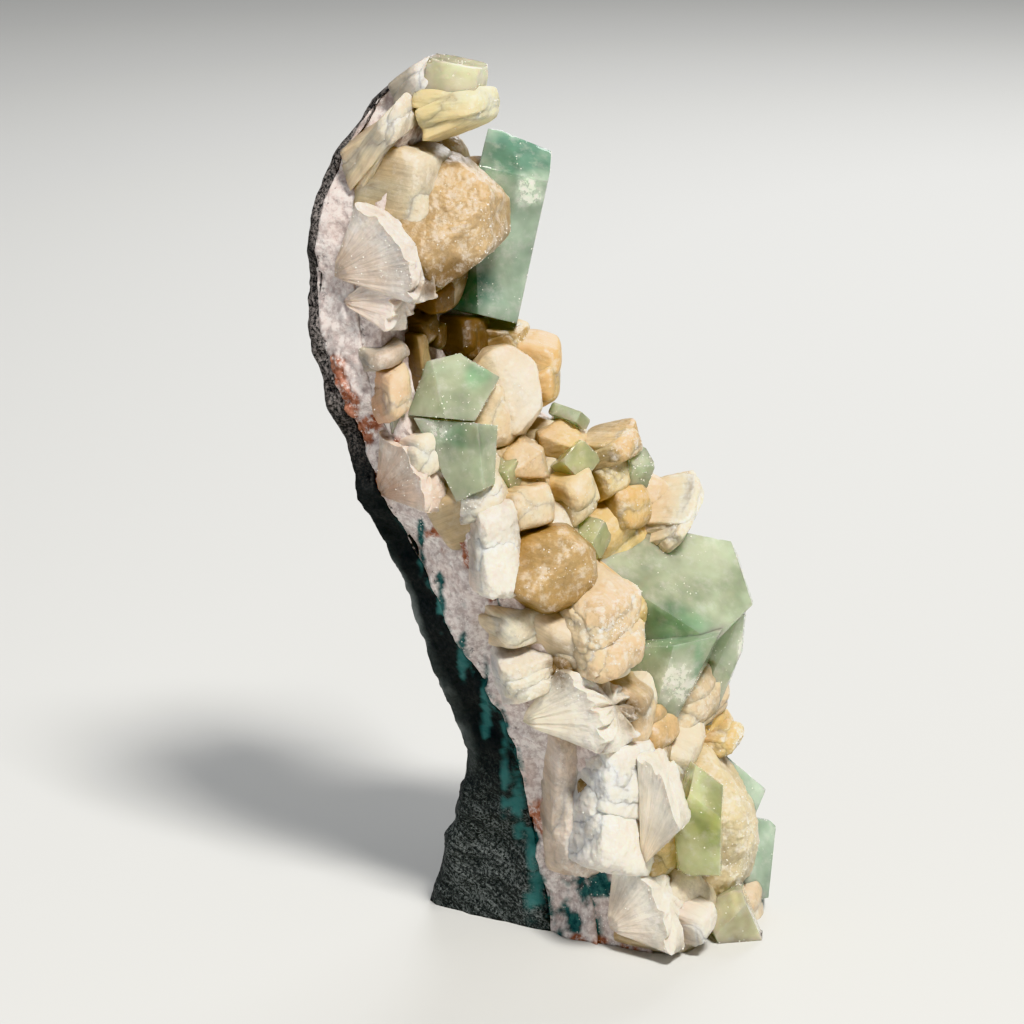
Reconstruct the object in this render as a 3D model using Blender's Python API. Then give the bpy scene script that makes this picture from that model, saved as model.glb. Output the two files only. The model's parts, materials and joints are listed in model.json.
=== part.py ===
"""Apophyllite cluster: green apophyllite crystals on peach stilbite sheaves, on a broken plate of vesicle wall.

Blender 4.5, metres, +Z up. The origin is on the flat foot. The viewer looks along +Y, and sees the broken near
edge of the plate at the left and the crystal lining at the right.
"""

import itertools
import math
import random

import bmesh
import bpy
import numpy as np
from mathutils import Matrix, Vector, noise

MM = 0.001
GAP = 0.3 * MM
FLAT_ANGLE = math.radians(0.5)
COLLECTION = "apophyllite_cluster"

# The viewer's picture: places in it are millimetres across and down from its top left corner, at the
# specimen's own scale, so that each crystal can be put where it is seen.
PICTURE_SIDE = 204.8 * MM
EYE_DISTANCE = 900 * MM
EYE_ELEVATION = math.radians(15)
AIM = Vector((-15.6, 0.0, 86.4)) * MM
EYE_RIGHT = Vector((1.0, 0.0, 0.0))
EYE_UP = Vector((0.0, math.sin(EYE_ELEVATION), math.cos(EYE_ELEVATION)))
EYE_BACK = Vector((0.0, -math.cos(EYE_ELEVATION), math.sin(EYE_ELEVATION)))

# The near, broken edge of the plate faces the viewer at this turn. UPWARD and NEAR_OUT span that edge.
NEAR_TURN = math.radians(33)
NEAR_OUT = Vector((math.cos(NEAR_TURN), -math.sin(NEAR_TURN), 0.0))
NEAR_OUT_OF_EDGE = Vector((-math.sin(NEAR_TURN), -math.cos(NEAR_TURN), 0.0))
UPWARD = Vector((0.0, 0.0, 1.0))

# The plate stands on edge. Each row reads its near edge at one level of the picture: where the back of the
# plate, the seam between basalt and pale rim, the front of the rim and the front of the stilbite bed are seen.
# Then come the depth of the bed's corner, the plate's width away from the viewer and the turn of its face.
STATIONS_MM = (
    # down, back, seam, rim, bed, corner y, width, turn in degrees
    (14, 80.5, 82.2, 86.0, 89.0, -14, 10, 25),
    (20, 73.8, 75.6, 80.5, 84.5, -14, 14, 25),
    (30, 66.8, 69.0, 74.5, 79.5, -15, 26, 26),
    (40, 62.8, 65.2, 71.0, 77.0, -16, 34, 27),
    (50, 61.0, 63.6, 70.5, 76.0, -16, 37, 28),
    (60, 60.6, 63.4, 71.5, 76.0, -16, 37, 29),
    (70, 62.0, 65.2, 72.6, 76.0, -16, 37, 31),
    (80, 65.2, 68.8, 74.6, 78.0, -17, 39, 33),
    (90, 68.8, 72.8, 79.0, 83.0, -17, 42, 36),
    (100, 72.2, 77.2, 84.5, 89.0, -18, 49, 38),
    (110, 76.8, 82.2, 92.0, 96.0, -18, 54, 38),
    (120, 80.6, 87.2, 99.0, 103.0, -19, 55, 37),
    (130, 85.2, 93.4, 105.0, 109.5, -19, 53, 34),
    (140, 89.0, 99.4, 108.5, 115.5, -20, 48, 30),
    (150, 92.4, 103.4, 110.5, 120.0, -20, 44, 26),
    (160, 92.2, 105.4, 112.5, 124.0, -20, 42, 23),
    (170, 88.6, 107.0, 115.5, 127.0, -20, 42, 20),
    (180, 85.4, 109.2, 118.5, 129.5, -20, 42, 19),
    (192, 82.0, 111.0, 120.5, 130.5, -20, 42, 18),
)
LEVEL_STEP_MM = 13.0
END_STEPS = 3
FACE_STEPS = 6
BACK_ROUNDING_MM = 1.6
ROCK_ROUGHNESS_MM = 1.8
CRUMB_MM = 9.0

# Crystal sheaves of stilbite on the plate's crystal face. Each row: the box it is seen in (left, top, right, bottom),
# how far its middle stands off the bed, its own width, thickness and length before it is drawn out to the box, then
# the swing of its axis along the plate, its rise and roll in degrees, and its flare.
SHEAVES_MM = {
    "crown_back": (77.6, 11.2, 89.2, 24.0, 1, 10, 9, 12, -10, 35, 10, 0.1),
    "crown_right": (82.4, 17.6, 100.0, 28.0, 6, 16, 12, 17, 5, 12, -8, 0.1),
    "left_blade": (68.0, 18.4, 84.0, 39.0, 2, 12, 11, 20, -12, 38, 12, 0.05),
    "crown_main": (77.0, 27.6, 102.2, 58.4, 8, 22, 24, 26, -14, 14, 18, 0.1),
    "blade_seat": (88.0, 31.0, 103.0, 60.0, 3, 14, 24, 12, 5, 0, 0, 0.1),
    "under_block": (82.8, 55.0, 91.0, 63.0, 5, 8, 7, 10, -10, -8, 10, 0.1),
    "recess_left": (81.0, 61.0, 88.0, 69.0, 2, 6, 6, 8, -8, 5, 15, 0.1),
    "recess_right": (84.0, 63.6, 89.4, 70.0, 3, 6, 6, 8, 4, 0, -10, 0.1),
    "recess_post": (81.0, 65.6, 86.6, 78.6, 2, 5, 10, 9, -5, 12, 5, 0.1),
    "recess_shade": (86.0, 62.4, 98.4, 73.0, 2, 12, 10, 14, 0, 4, -6, 0.1),
    "rear_shoulder": (93.0, 62.6, 106.0, 72.0, 7, 12, 9, 15, 12, 8, 10, 0.1),
    "rear_disc": (102.4, 65.6, 112.4, 84.0, 8, 11, 17, 16, 25, 8, 8, 0.2),
    "middle_disc": (92.4, 68.4, 108.6, 88.4, 10, 17, 18, 18, -14, 12, 35, 0.2),
    "peach_wedge": (73.6, 71.0, 82.4, 84.8, 0, 8, 10, 11, -22, 10, 8, 0.1),
    "grey_ledge": (71.0, 66.6, 82.0, 74.4, -1, 10, 6, 10, -28, 4, 12, 0.1),
    "pentagon": (98.8, 86.4, 110.0, 96.0, 9, 10, 9, 14, -12, 12, 8, 0.05),
    "facet_peach": (105.6, 82.4, 117.6, 93.6, 8, 11, 10, 15, -6, 16, -14, 0.05),
    "skyline_round": (115.2, 83.6, 128.6, 95.2, 8, 13, 11, 16, 4, 18, 10, 0.1),
    "brown_round": (115.0, 88.8, 126.4, 101.2, 10, 11, 12, 14, -8, 14, 14, 0.1),
    "orange_block": (118.4, 94.8, 130.4, 106.4, 9, 12, 11, 15, -8, 6, -6, 0.1),
    "peach_tall": (109.0, 92.4, 120.0, 106.4, 9, 10, 13, 14, -14, 12, 18, 0.1),
    "peach_lump": (97.6, 96.0, 111.0, 107.2, 7, 13, 11, 15, -14, 12, -8, 0.1),
    "feather_sheaf": (125.0, 94.0, 140.8, 112.0, 9, 15, 14, 17, 6, 22, 30, 0.25),
    "amber_round": (100.0, 104.4, 119.6, 123.6, 8, 18, 18, 19, -16, 8, 14, 0.1),
    "cream_round": (95.6, 117.6, 110.4, 129.6, 3, 14, 11, 15, -22, 0, 10, 0.1),
    "druzy_peach": (109.0, 111.2, 129.0, 136.4, 8, 18, 22, 20, -10, 2, 8, 0.1),
    "pale_block": (118.4, 125.6, 126.4, 136.0, 12, 8, 9, 10, -20, -14, 12, 0.1),
    "great_seat": (122.0, 108.0, 146.0, 130.0, 3, 20, 18, 16, -4, 4, 10, 0.1),
    "rear_low": (124.0, 128.0, 146.0, 150.0, 2, 20, 18, 18, -4, 4, 10, 0.1),
    "golden_crust": (136.0, 143.6, 148.8, 154.0, 8, 11, 9, 15, 0, 12, 10, 0.1),
    "big_round": (130.6, 146.0, 152.2, 180.0, 8, 20, 32, 22, -12, 4, 4, 0.1),
    "edge_seat": (136.0, 154.0, 148.4, 186.0, 3, 14, 30, 14, 0, 0, 5, 0.1),
    "foot_wedge": (132.0, 178.0, 143.4, 189.2, 7, 8, 9, 12, -16, 0, 20, 0.1),
    "foot_rear": (140.0, 175.0, 152.8, 187.0, 9, 12, 12, 14, 0, 0, 8, 0.1),
    "pocket_low": (107.0, 128.0, 118.6, 141.0, 1, 10, 11, 10, -16, 10, 10, 0.1),
    "pocket_mid": (121.0, 137.0, 136.0, 153.0, 3, 12, 13, 13, -10, 8, 10, 0.1),
    "bridge_upper": (88.6, 93.6, 101.0, 105.0, 3, 12, 10, 13, -18, 10, 12, 0.1),
    "bridge_side": (78.0, 82.0, 90.0, 96.0, 1, 10, 11, 11, -18, 10, 12, 0.1),
}

# Fans and blocks that the break has cut through, on the near edge: the same values, but the distance is how far the
# middle stands out of the broken edge.
EDGE_SHEAVES_MM = {
    "shell_fan": (66.6, 40.0, 88.0, 60.8, 0, 20, 9, 21, -4, 30, 84, 0.5),
    "pink_fan": (68.6, 53.6, 83.0, 66.4, 0, 14, 8, 14, -4, 8, 84, 0.4),
    "left_fan": (75.2, 85.6, 90.4, 102.6, 0, 15, 8, 16, -4, 40, 84, 0.4),
    "broken_white": (93.0, 99.0, 104.6, 120.0, -1, 9, 18, 12, -32, 0, 5, 0.2),
    "rough_upper": (100.0, 126.0, 113.0, 140.0, -1, 12, 12, 12, -36, 0, 12, 0.1),
    "big_white_fan": (104.6, 133.0, 128.2, 150.6, 1, 20, 12, 22, -4, 24, 84, 0.4),
    "rim_face": (108.0, 147.4, 122.4, 175.6, -4, 12, 24, 12, -36, 0, 5, 0.1),
    "rough_white": (115.6, 147.0, 132.0, 175.4, -3, 14, 22, 13, -32, 4, -12, 0.15),
    "striated_fan": (127.4, 149.8, 138.2, 173.6, 1, 21, 10, 18, -4, 62, 84, 0.3),
    "foot_fan": (121.6, 170.0, 137.2, 190.6, 1, 18, 12, 19, -4, 38, 84, 0.3),
}

# Sheaves whose flat faces show: each face's direction in the picture, how far it turns to the viewer, its distance.
SHEAF_FACES_MM = {
    "crown_main": (
        (0, 20, 12.6), (52, 12, 13.4), (95, 18, 14.6), (138, 12, 14.0), (182, 12, 13.0), (228, 10, 13.6),
        (-60, -8, 11.4), (-38, 8, 12.6), (110, 72, 9.0), (-35, 60, 10.4), (0, -70, 12.0), (180, -60, 12.0),
    ),
    "big_round": (
        (0, 15, 10.0), (38, 10, 11.2), (70, 15, 15.0), (110, 15, 15.4), (180, 10, 10.6), (215, 12, 13.6),
        (-38, 10, 13.2), (-90, -6, 15.4), (80, 68, 9.6), (-80, 64, 9.6), (0, -70, 11.0), (180, -60, 11.0),
    ),
    "middle_disc": (
        (10, 5, 8.0), (55, 8, 9.0), (100, 8, 9.6), (145, 8, 8.4), (190, 5, 8.0), (235, 8, 9.4), (280, 5, 9.8),
        (325, 8, 8.8), (200, 70, 4.6), (20, 68, 5.0), (0, -70, 6.0), (180, -60, 6.0),
    ),
    "amber_round": (
        (5, 8, 9.6), (50, 12, 9.4), (100, 12, 9.0), (150, 10, 9.4), (195, 8, 9.8), (240, 8, 9.6), (290, 6, 9.4),
        (330, 8, 9.6), (120, 66, 7.0), (-30, 60, 7.4), (0, -70, 8.0), (180, -60, 8.0),
    ),
    "pentagon": (
        (10, 10, 5.4), (62, 15, 4.6), (128, 15, 4.8), (190, 10, 5.2), (-90, 0, 4.6), (100, 66, 3.4),
        (-40, 55, 4.0), (0, -70, 6.0),
    ),
    "facet_peach": (
        (-10, 10, 5.6), (42, 15, 4.8), (118, 15, 5.0), (190, 10, 5.6), (-112, 0, 5.2), (80, 62, 3.6),
        (-120, 58, 4.2), (0, -70, 6.0),
    ),
}
NEAR_MARGIN = 2 * MM
FAR_SHARE = 0.86
SHEAF_SOFTNESS = 7.0
FACED_SOFTNESS = 14.0
SHEAF_CUTS = 2
SMALL_SHEAF_MM = 18.5

# Low sheaves that fill the bed between and behind the named ones, in jittered rows.
ROW_STEP_MM = 14.5
ALONG_STEP_MM = 13.5
FILLER_MM = 15.5
FILLER_SEED = 7

# The dark hollow under the crown and the broken rim below it (left, top, right, bottom): no low sheaf stands there.
CLEAR_MM = ((79.0, 58.0, 104.0, 71.0), (74.0, 68.0, 92.0, 92.0))

# Apophyllite blocks. Each row: where the corner nearest the viewer is seen, how far the middle stands off the bed, the
# directions in the picture of the three edges that meet at that corner, anticlockwise from the right, and their lengths.
BLOCKS_MM = {
    "apophyllite_crown": (95.6, 14.6, 5, (166, 40, -100), (10.5, 8, 8.6)),
    "apophyllite_side": (79.2, 81.0, 3, (128, 22, -98), (7, 2.6, 9)),
    "apophyllite_ledge": (112.2, 92.2, 9, (205, 48, -45), (13, 6.5, 6)),
    "apophyllite_chip": (101.4, 94.6, 7, (170, 50, -75), (5, 5, 6)),
    "apophyllite_shoulder": (126.6, 93.4, 11, (118, 5, -108), (6, 5, 7)),
    "apophyllite_olive": (118.4, 108.6, 9, (62, 168, -65), (6, 5, 6)),
    "apophyllite_splinter": (115.2, 84.6, 8, (160, 65, -40), (7, 2.5, 5)),
}
CORNER_CUT = 0.12

# Apophyllites that are seen broadside. Each part has its middle (seen place, distance off the bed) and its flat
# faces: the direction in the picture they look, how far they turn to the viewer, and their distance. The great
# cluster's parts grew as one crystal group.
GROUPS_MM = {
    "apophyllite_blade": (
        ((101.0, 46.0, 9), (
            (-80, 76, 6.0), (72, 46, 13.6), (-12.4, 0, 6.3), (-4.4, 0, 8.0), (67.8, 0, 17.9), (84.7, 0, 19.6),
            (257.4, 0, 17.6), (167.6, 0, 7.6), (200, 50, 8.6), (0, -70, 7.0), (180, -60, 8.0),
        )),
    ),
    "apophyllite_middle_upper": (
        ((90.4, 77.6, 8), (
            (80, 62, 4.5), (165, 45, 5.6), (59, 0, 6.6), (-29, 0, 7.2), (264.5, 0, 6.2), (160, 0, 6.4),
            (104, 0, 6.2), (0, -60, 6.0), (180, -60, 6.0),
        )),
    ),
    "apophyllite_middle_lower": (
        ((92.0, 90.4, 7), (
            (200, 60, 4.5), (0, 35, 7.5), (84.5, 0, 5.8), (-3, 0, 7.1), (-65, 0, 8.6), (207, 0, 5.0),
            (0, -60, 6.0), (180, -60, 6.0),
        )),
    ),
    "apophyllite_great": (
        ((136.0, 117.0, 9), (
            (57, 50, 6.1), (237, 58, 14.25), (84, -15, 10.4), (115, -15, 11.0), (128, -10, 12.4),
            (217, 5, 14.0), (20, 5, 12.6), (-48, 0, 12.7), (-60, -60, 9.0), (180, -70, 9.0),
        )),
        ((132.4, 137.6, 7), (
            (215, 5, 6.4), (-27, 5, 5.5), (270, 0, 9.8), (200, 55, 5.5), (-60, 60, 5.5), (100, 10, 10.0),
            (90, -60, 8.0),
        )),
        ((142.4, 134.4, 9), (
            (-5, 5, 5.7), (-22, 5, 4.0), (-76, 5, 10.5), (231, 5, 10.5), (152, 5, 2.6), (111, 10, 9.3),
            (-20, 62, 4.4), (150, 55, 4.0), (0, -70, 8.0),
        )),
    ),
    "apophyllite_low": (
        ((140.0, 164.4, 14), (
            (52, 50, 6.8), (232, 60, 3.5), (-2, 5, 4.4), (90, 0, 12.0), (53, 0, 8.6), (162, 5, 4.6),
            (190, 5, 5.5), (244, 5, 10.4), (270, 5, 10.6), (0, -70, 7.0),
        )),
    ),
    "apophyllite_edge_upper": (
        ((150.0, 157.8, 9), (
            (45, 65, 3.0), (50, 0, 2.1), (-25, 0, 2.9), (160, 0, 7.0), (260, 0, 5.0), (0, -70, 5.0), (120, -40, 6.0),
        )),
    ),
    "apophyllite_edge_lower": (
        ((152.0, 171.6, 9), (
            (-7, 0, 2.5), (80, 0, 8.0), (50, 0, 7.2), (231, 0, 6.1), (170, 0, 7.0), (20, 60, 3.0),
            (0, -70, 5.0), (-80, 0, 8.0),
        )),
    ),
    "apophyllite_foot": (
        ((146.4, 183.6, 13), (
            (90, 10, 6.6), (21, 5, 4.2), (-45, 0, 7.4), (203, 5, 4.9), (120, 5, 5.4), (-70, 55, 4.2),
            (160, 50, 4.4), (0, -70, 7.0), (270, -20, 8.0),
        )),
    ),
}


# Finishes: colour and roughness. A crystal that is not named takes the mint green of most of them.
FINISHES = {
    "basalt_matrix": ((0.015, 0.017, 0.017), 0.85),
    "pale_rim": ((0.57, 0.45, 0.41), 0.75),
    "stilbite_druse": ((0.73, 0.48, 0.27), 0.4),
    "apophyllite_crown": ((0.62, 0.62, 0.30), 0.25),
    "apophyllite_low": ((0.50, 0.54, 0.20), 0.25),
    "apophyllite_foot": ((0.45, 0.42, 0.20), 0.3),
    "apophyllite_olive": ((0.30, 0.32, 0.08), 0.25),
    "apophyllite_chip": ((0.34, 0.36, 0.12), 0.25),
    "apophyllite_ledge": ((0.36, 0.40, 0.18), 0.2),
    "apophyllite_middle_lower": ((0.16, 0.26, 0.14), 0.2),
}
MINT_FINISH = ((0.35, 0.54, 0.36), 0.2)


def seen(across, down, y):
    """The point at depth y that shows at this place of the picture: the eye's ray, cut at that depth."""
    eye = AIM + EYE_BACK * EYE_DISTANCE
    right = across * MM - PICTURE_SIDE / 2
    up = PICTURE_SIDE / 2 - down * MM
    ray = EYE_RIGHT * right + EYE_UP * up - EYE_BACK * EYE_DISTANCE
    return eye + ray * ((y - eye.y) / ray.y)


def read_stations():
    """The near edge as lines of (z, x, y), one for each boundary, and the rows (z, plate width, face turn)."""
    lines = {"back": [], "seam": [], "rim": [], "bed": []}
    face = []
    for down, back, seam, rim, bed, corner_y, width, turn in STATIONS_MM:
        for name, across in zip(lines, (back, seam, rim, bed)):
            depth = corner_y + (bed - across) * math.tan(NEAR_TURN)
            point = seen(across, down, depth * MM)
            lines[name].append((point.z, point.x, point.y))
        face.append((lines["bed"][-1][0], width * MM, math.radians(turn)))
    return {name: np.array(sorted(points)) for name, points in lines.items()}, np.array(sorted(face))


LINES, FACE = read_stations()
TOP_Z = LINES["rim"][-1][0]
BASALT_TOP, BED_TOP, RIM_TOP = TOP_Z - 4 * MM, TOP_Z - 2 * MM, TOP_Z - 1 * MM
LEVELS = [LEVEL_STEP_MM * MM * k for k in range(int(BASALT_TOP / MM / LEVEL_STEP_MM) + 1)]
LEVELS += [BASALT_TOP, BED_TOP, RIM_TOP]


def edge_at(name, z):
    """The point of one near-edge line at height z."""
    line = LINES[name]
    return Vector((np.interp(z, line[:, 0], line[:, 1]), np.interp(z, line[:, 0], line[:, 2]), z))


def width_at(z):
    return float(np.interp(z, FACE[:, 0], FACE[:, 1]))


def face_directions(z):
    """Level directions at height z: out of the crystal face, and along it away from the viewer."""
    turn = np.interp(z, FACE[:, 0], FACE[:, 2])
    return Vector((math.cos(turn), -math.sin(turn), 0.0)), Vector((math.sin(turn), math.cos(turn), 0.0))


def on_face(across, down, out):
    """The point seen at this place of the picture that stands `out` off the bed, kept over the plate itself."""
    y = 0.0
    for _ in range(12):
        point = seen(across, down, y)
        edge = edge_at("bed", point.z)
        _, away = face_directions(point.z)
        right = point.x - edge.x
        along = (right / away.y - out) * away.y / away.x
        along = min(max(along, NEAR_MARGIN), FAR_SHARE * width_at(point.z))
        y = edge.y + (along - right * away.x) / away.y
    return point


def on_near_edge(across, down, proud):
    """The point seen at this place of the picture that stands `proud` out of the plate's near, broken edge."""
    y = 0.0
    for _ in range(16):
        point = seen(across, down, y)
        y += ((edge_at("bed", point.z) - point).dot(NEAR_OUT_OF_EDGE) + proud) * -0.9 / math.cos(NEAR_TURN)
    return point


def beyond_view(z, along, out):
    """A point of the crystal face given in the plate's own directions."""
    outward, away = face_directions(z)
    return edge_at("bed", z) + away * along + outward * out


def leaving_axes(z, swing, rise, roll):
    """The frame of a crystal: x its width, y its thickness, z its axis, which leaves the plate outwards."""
    outward, away = face_directions(z)
    swing, rise, roll = (math.radians(angle) for angle in (swing, rise, roll))
    flat = outward * math.cos(swing) + away * math.sin(swing)
    axis = flat * math.cos(rise) + UPWARD * math.sin(rise)
    side = away * math.cos(swing) - outward * math.sin(swing)
    third = axis.cross(side)
    width = side * math.cos(roll) + third * math.sin(roll)
    return Matrix((width, axis.cross(width), axis)).transposed()


def corner_axes(*seen_angles):
    """The frame of a block from how the three edges at its corner nearest the viewer run in the picture.

    With m the tangent of an edge's slope away from the viewer, two square edges give m_i m_j = -cos(i - j).
    """
    angles = [math.radians(angle) for angle in seen_angles]
    meet = [-math.cos(angles[i] - angles[j]) for i, j in ((1, 2), (0, 2), (0, 1))]
    edges = []
    for k, angle in enumerate(angles):
        slope = math.sqrt(meet[(k + 1) % 3] * meet[(k + 2) % 3] / meet[k])
        edge = EYE_RIGHT * math.cos(angle) + EYE_UP * math.sin(angle) - EYE_BACK * slope
        edges.append(edge.normalized())
    return Matrix(edges).transposed()


def placed(place, axes):
    return Matrix.Translation(place) @ axes.to_4x4()


def new_object(name, bm, hidden=False):
    mesh = bpy.data.meshes.new(name)
    bm.to_mesh(mesh)
    bm.free()
    obj = bpy.data.objects.new(name, mesh)
    obj.hide_render = hidden
    if hidden:
        obj.display_type = "WIRE"
    bpy.data.collections[COLLECTION + ("_cutters" if hidden else "")].objects.link(obj)
    return obj


def clear_scene():
    for obj in list(bpy.data.objects):
        bpy.data.objects.remove(obj)
    for name in (COLLECTION, COLLECTION + "_cutters"):
        bpy.context.scene.collection.children.link(bpy.data.collections.new(name))


def finish_material(obj):
    colour, roughness = FINISHES.get(obj.name, MINT_FINISH)
    material = bpy.data.materials.new(obj.name)
    material.use_nodes = True
    shader = material.node_tree.nodes["Principled BSDF"]
    shader.inputs["Base Color"].default_value = (*colour, 1.0)
    shader.inputs["Roughness"].default_value = roughness
    shader.inputs["Metallic"].default_value = 0.0
    obj.data.materials.clear()
    obj.data.materials.append(material)


def crumble(point, reach):
    """Broken rock: a few sizes of smooth noise, which moves a face in or out by up to about `reach`."""
    place = point / (CRUMB_MM * MM)
    coarse = noise.noise(place)
    fine = noise.noise(place * 2.3 + Vector((5.0, 1.0, 9.0)))
    return reach * (coarse + 0.5 * fine)


def ring_of(z, inner, outer, grow, rounding):
    """One level section of a layer of the plate, between two of its near-edge lines, anticlockwise from above."""
    inner_edge, outer_edge = edge_at(inner, z), edge_at(outer, z)
    outward, away = face_directions(z)
    width = width_at(z)
    rough = ROCK_ROUGHNESS_MM * MM
    thick = (outer_edge - inner_edge).length

    def rounded(share):
        """How far an end face draws back where it meets the back of the plate."""
        depth = min(1.0, share * thick / rounding) if rounding else 1.0
        return rounding * (1 - math.sqrt(1 - (1 - depth) ** 2))

    def end_point(share, along, sign):
        point = inner_edge.lerp(outer_edge, share) + away * along
        broken = crumble(point, rough) - rounded(share) + grow
        return point + NEAR_OUT * grow * (2 * share - 1) + away * sign * broken

    near = [end_point(k / END_STEPS, 0.0, -1) for k in range(END_STEPS + 1)]
    face = outer_edge + NEAR_OUT * grow
    front = [face + away * (width * k / FACE_STEPS) for k in range(1, FACE_STEPS)]
    far = [end_point(1 - k / END_STEPS, width, 1) for k in range(END_STEPS + 1)]
    inset = rounded(0.0)
    back = []
    for k in range(1, FACE_STEPS):
        share = 1 - k / FACE_STEPS
        point = inner_edge - NEAR_OUT * grow + away * (inset + share * (width - 2 * inset))
        bulge = rounding * 0.5 * math.sin(math.pi * share)
        back.append(point - outward * (crumble(point, rough) + bulge if rounding else 0.0))
    return near + front + far + back


def layer(name, inner, outer, low, high, grow=0.0, rounding=0.0, hidden=False):
    """A layer of the plate, as a loft through level sections from its flat foot to its broken top.

    All layers share their levels and the slant of their triangles, so that the seam between two keeps its width.
    """
    bm = bmesh.new()
    rings = []
    for z in sorted({low, high}.union(z for z in LEVELS if low < z < high)):
        rings.append([bm.verts.new(point) for point in ring_of(z, inner, outer, grow, rounding)])
    for lower, upper in zip(rings, rings[1:]):
        for k in range(len(lower)):
            after = (k + 1) % len(lower)
            low_corner, high_corner = (k, after) if k < END_STEPS + FACE_STEPS else (after, k)
            bm.faces.new((lower[k], lower[after], upper[high_corner]))
            bm.faces.new((lower[low_corner], upper[after], upper[k]))
    bm.faces.new(reversed(rings[0]))
    bm.faces.new(rings[-1])
    bmesh.ops.triangulate(bm, faces=[face for face in bm.faces if len(face.verts) > 4])
    bmesh.ops.recalc_face_normals(bm, faces=bm.faces)
    return new_object(name, bm, hidden)


def sheaf_faces(wide, thick, long):
    """The faces of a blunt stilbite sheaf, as outward directions and distances from its middle."""
    tip = 0.5 * long
    slope = math.sqrt(0.5)
    return (
        ((1, 0, 0), wide / 2),
        ((-1, 0, 0), wide / 2),
        ((0, 1, 0), thick / 2),
        ((0, -1, 0), thick / 2),
        ((0, 0, 1), tip),
        ((0, 0, -1), long / 2),
        ((slope, 0, slope), slope * (wide / 2 + tip) * 0.86),
        ((-slope, 0, slope), slope * (wide / 2 + tip) * 0.86),
        ((0, slope, slope), slope * (thick / 2 + tip) * 0.9),
        ((0, -slope, slope), slope * (thick / 2 + tip) * 0.9),
    )


def rounded_body(faces, softness, cuts, flare, long):
    """A cube whose points are drawn out to a body with softened faces, wider at the tip than at the root."""
    bm = bmesh.new()
    bmesh.ops.create_cube(bm, size=2.0)
    bmesh.ops.subdivide_edges(bm, edges=bm.edges, cuts=cuts, use_grid_fill=True)
    for vert in bm.verts:
        way = Vector([math.tan(value * math.pi / 4) for value in vert.co]).normalized()
        total = sum(max(0.0, way.dot(Vector(face)) / reach) ** softness for face, reach in faces)
        point = way * total ** (-1 / softness)
        spread = 1 + flare * point.z / long
        vert.co = Vector((point.x * spread, point.y * spread, point.z))
    return bm


def sheaf_body(axes, size, flare, cuts, seen_faces=None):
    """A stilbite sheaf about the origin, turned to its axes, or one whose own faces are seen."""
    wide, thick, long = (value * MM for value in size)
    if seen_faces:
        faces = [(view_direction(angle, facing), reach * MM) for angle, facing, reach in seen_faces]
        return rounded_body(faces, FACED_SOFTNESS, cuts, 0.0, long)
    body = rounded_body(sheaf_faces(wide, thick, long), SHEAF_SOFTNESS, cuts, flare, long)
    body.transform(axes.to_4x4())
    return body


def drawn_out(body, box, place):
    """The body drawn out to fill the box it is seen in, with its middle at `place`."""
    left, top, right, bottom = (value * MM for value in box)
    view = Matrix((EYE_RIGHT, EYE_UP, EYE_BACK))
    points = [view @ vert.co for vert in body.verts]
    low = Vector(min(point[i] for point in points) for i in range(3))
    high = Vector(max(point[i] for point in points) for i in range(3))
    span = high - low
    distance = (AIM + EYE_BACK * EYE_DISTANCE - place).dot(EYE_BACK)
    stretch_x = (right - left) * distance / EYE_DISTANCE / span.x
    stretch_y = (bottom - top) * distance / EYE_DISTANCE / span.y
    stretch = Matrix.Diagonal((stretch_x, stretch_y, math.sqrt(stretch_x * stretch_y)))
    middle = (low + high) / 2
    for vert, point in zip(body.verts, points):
        vert.co = view.transposed() @ (stretch @ (point - middle)) + place
    return body


def all_sheaves():
    made = []
    for table, place_on in ((SHEAVES_MM, on_face), (EDGE_SHEAVES_MM, on_near_edge)):
        for name, row in table.items():
            box, out, size, angles, flare = row[:4], row[4], row[5:8], row[8:11], row[11]
            place = place_on((box[0] + box[2]) / 2, (box[1] + box[3]) / 2, out * MM)
            cuts = SHEAF_CUTS if max(size) > SMALL_SHEAF_MM else 1
            seen_faces = SHEAF_FACES_MM.get(name)
            body = sheaf_body(leaving_axes(place.z, *angles), size, flare, cuts, seen_faces)
            made.append(new_object("sheaf_" + name, drawn_out(body, box, place), hidden=True))
    return made


def in_clear(point):
    """Whether a point shows inside one of the places that stay clear."""
    offset = point - AIM
    share = EYE_DISTANCE / (EYE_DISTANCE - offset.dot(EYE_BACK))
    across = (PICTURE_SIDE / 2 + offset.dot(EYE_RIGHT) * share) / MM
    down = (PICTURE_SIDE / 2 - offset.dot(EYE_UP) * share) / MM
    return any(left < across < right and top < down < bottom for left, top, right, bottom in CLEAR_MM)


def fillers():
    """Low sheaves in jittered rows over the whole crystal face."""
    dice = random.Random(FILLER_SEED)
    made = []
    z = FILLER_MM * 0.45
    while z < (TOP_Z / MM) - FILLER_MM:
        along = FILLER_MM * 0.4
        while along < width_at(z * MM) / MM - FILLER_MM * 0.25:
            jitter = [dice.uniform(-2, 2) for _ in range(2)]
            place = beyond_view((z + jitter[0]) * MM, (along + jitter[1]) * MM, dice.uniform(-1.5, 1.5) * MM)
            size = [FILLER_MM * dice.uniform(0.85, 1.2) for _ in range(3)]
            angles = dice.uniform(-25, 25), dice.uniform(-20, 25), dice.uniform(-40, 40)
            along += ALONG_STEP_MM
            if in_clear(place):
                continue
            body = sheaf_body(leaving_axes(place.z, *angles), size, 0.1, 1)
            body.transform(Matrix.Translation(place))
            made.append(new_object("filler_" + str(len(made)), body, hidden=True))
        z += ROW_STEP_MM
    return made


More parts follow.
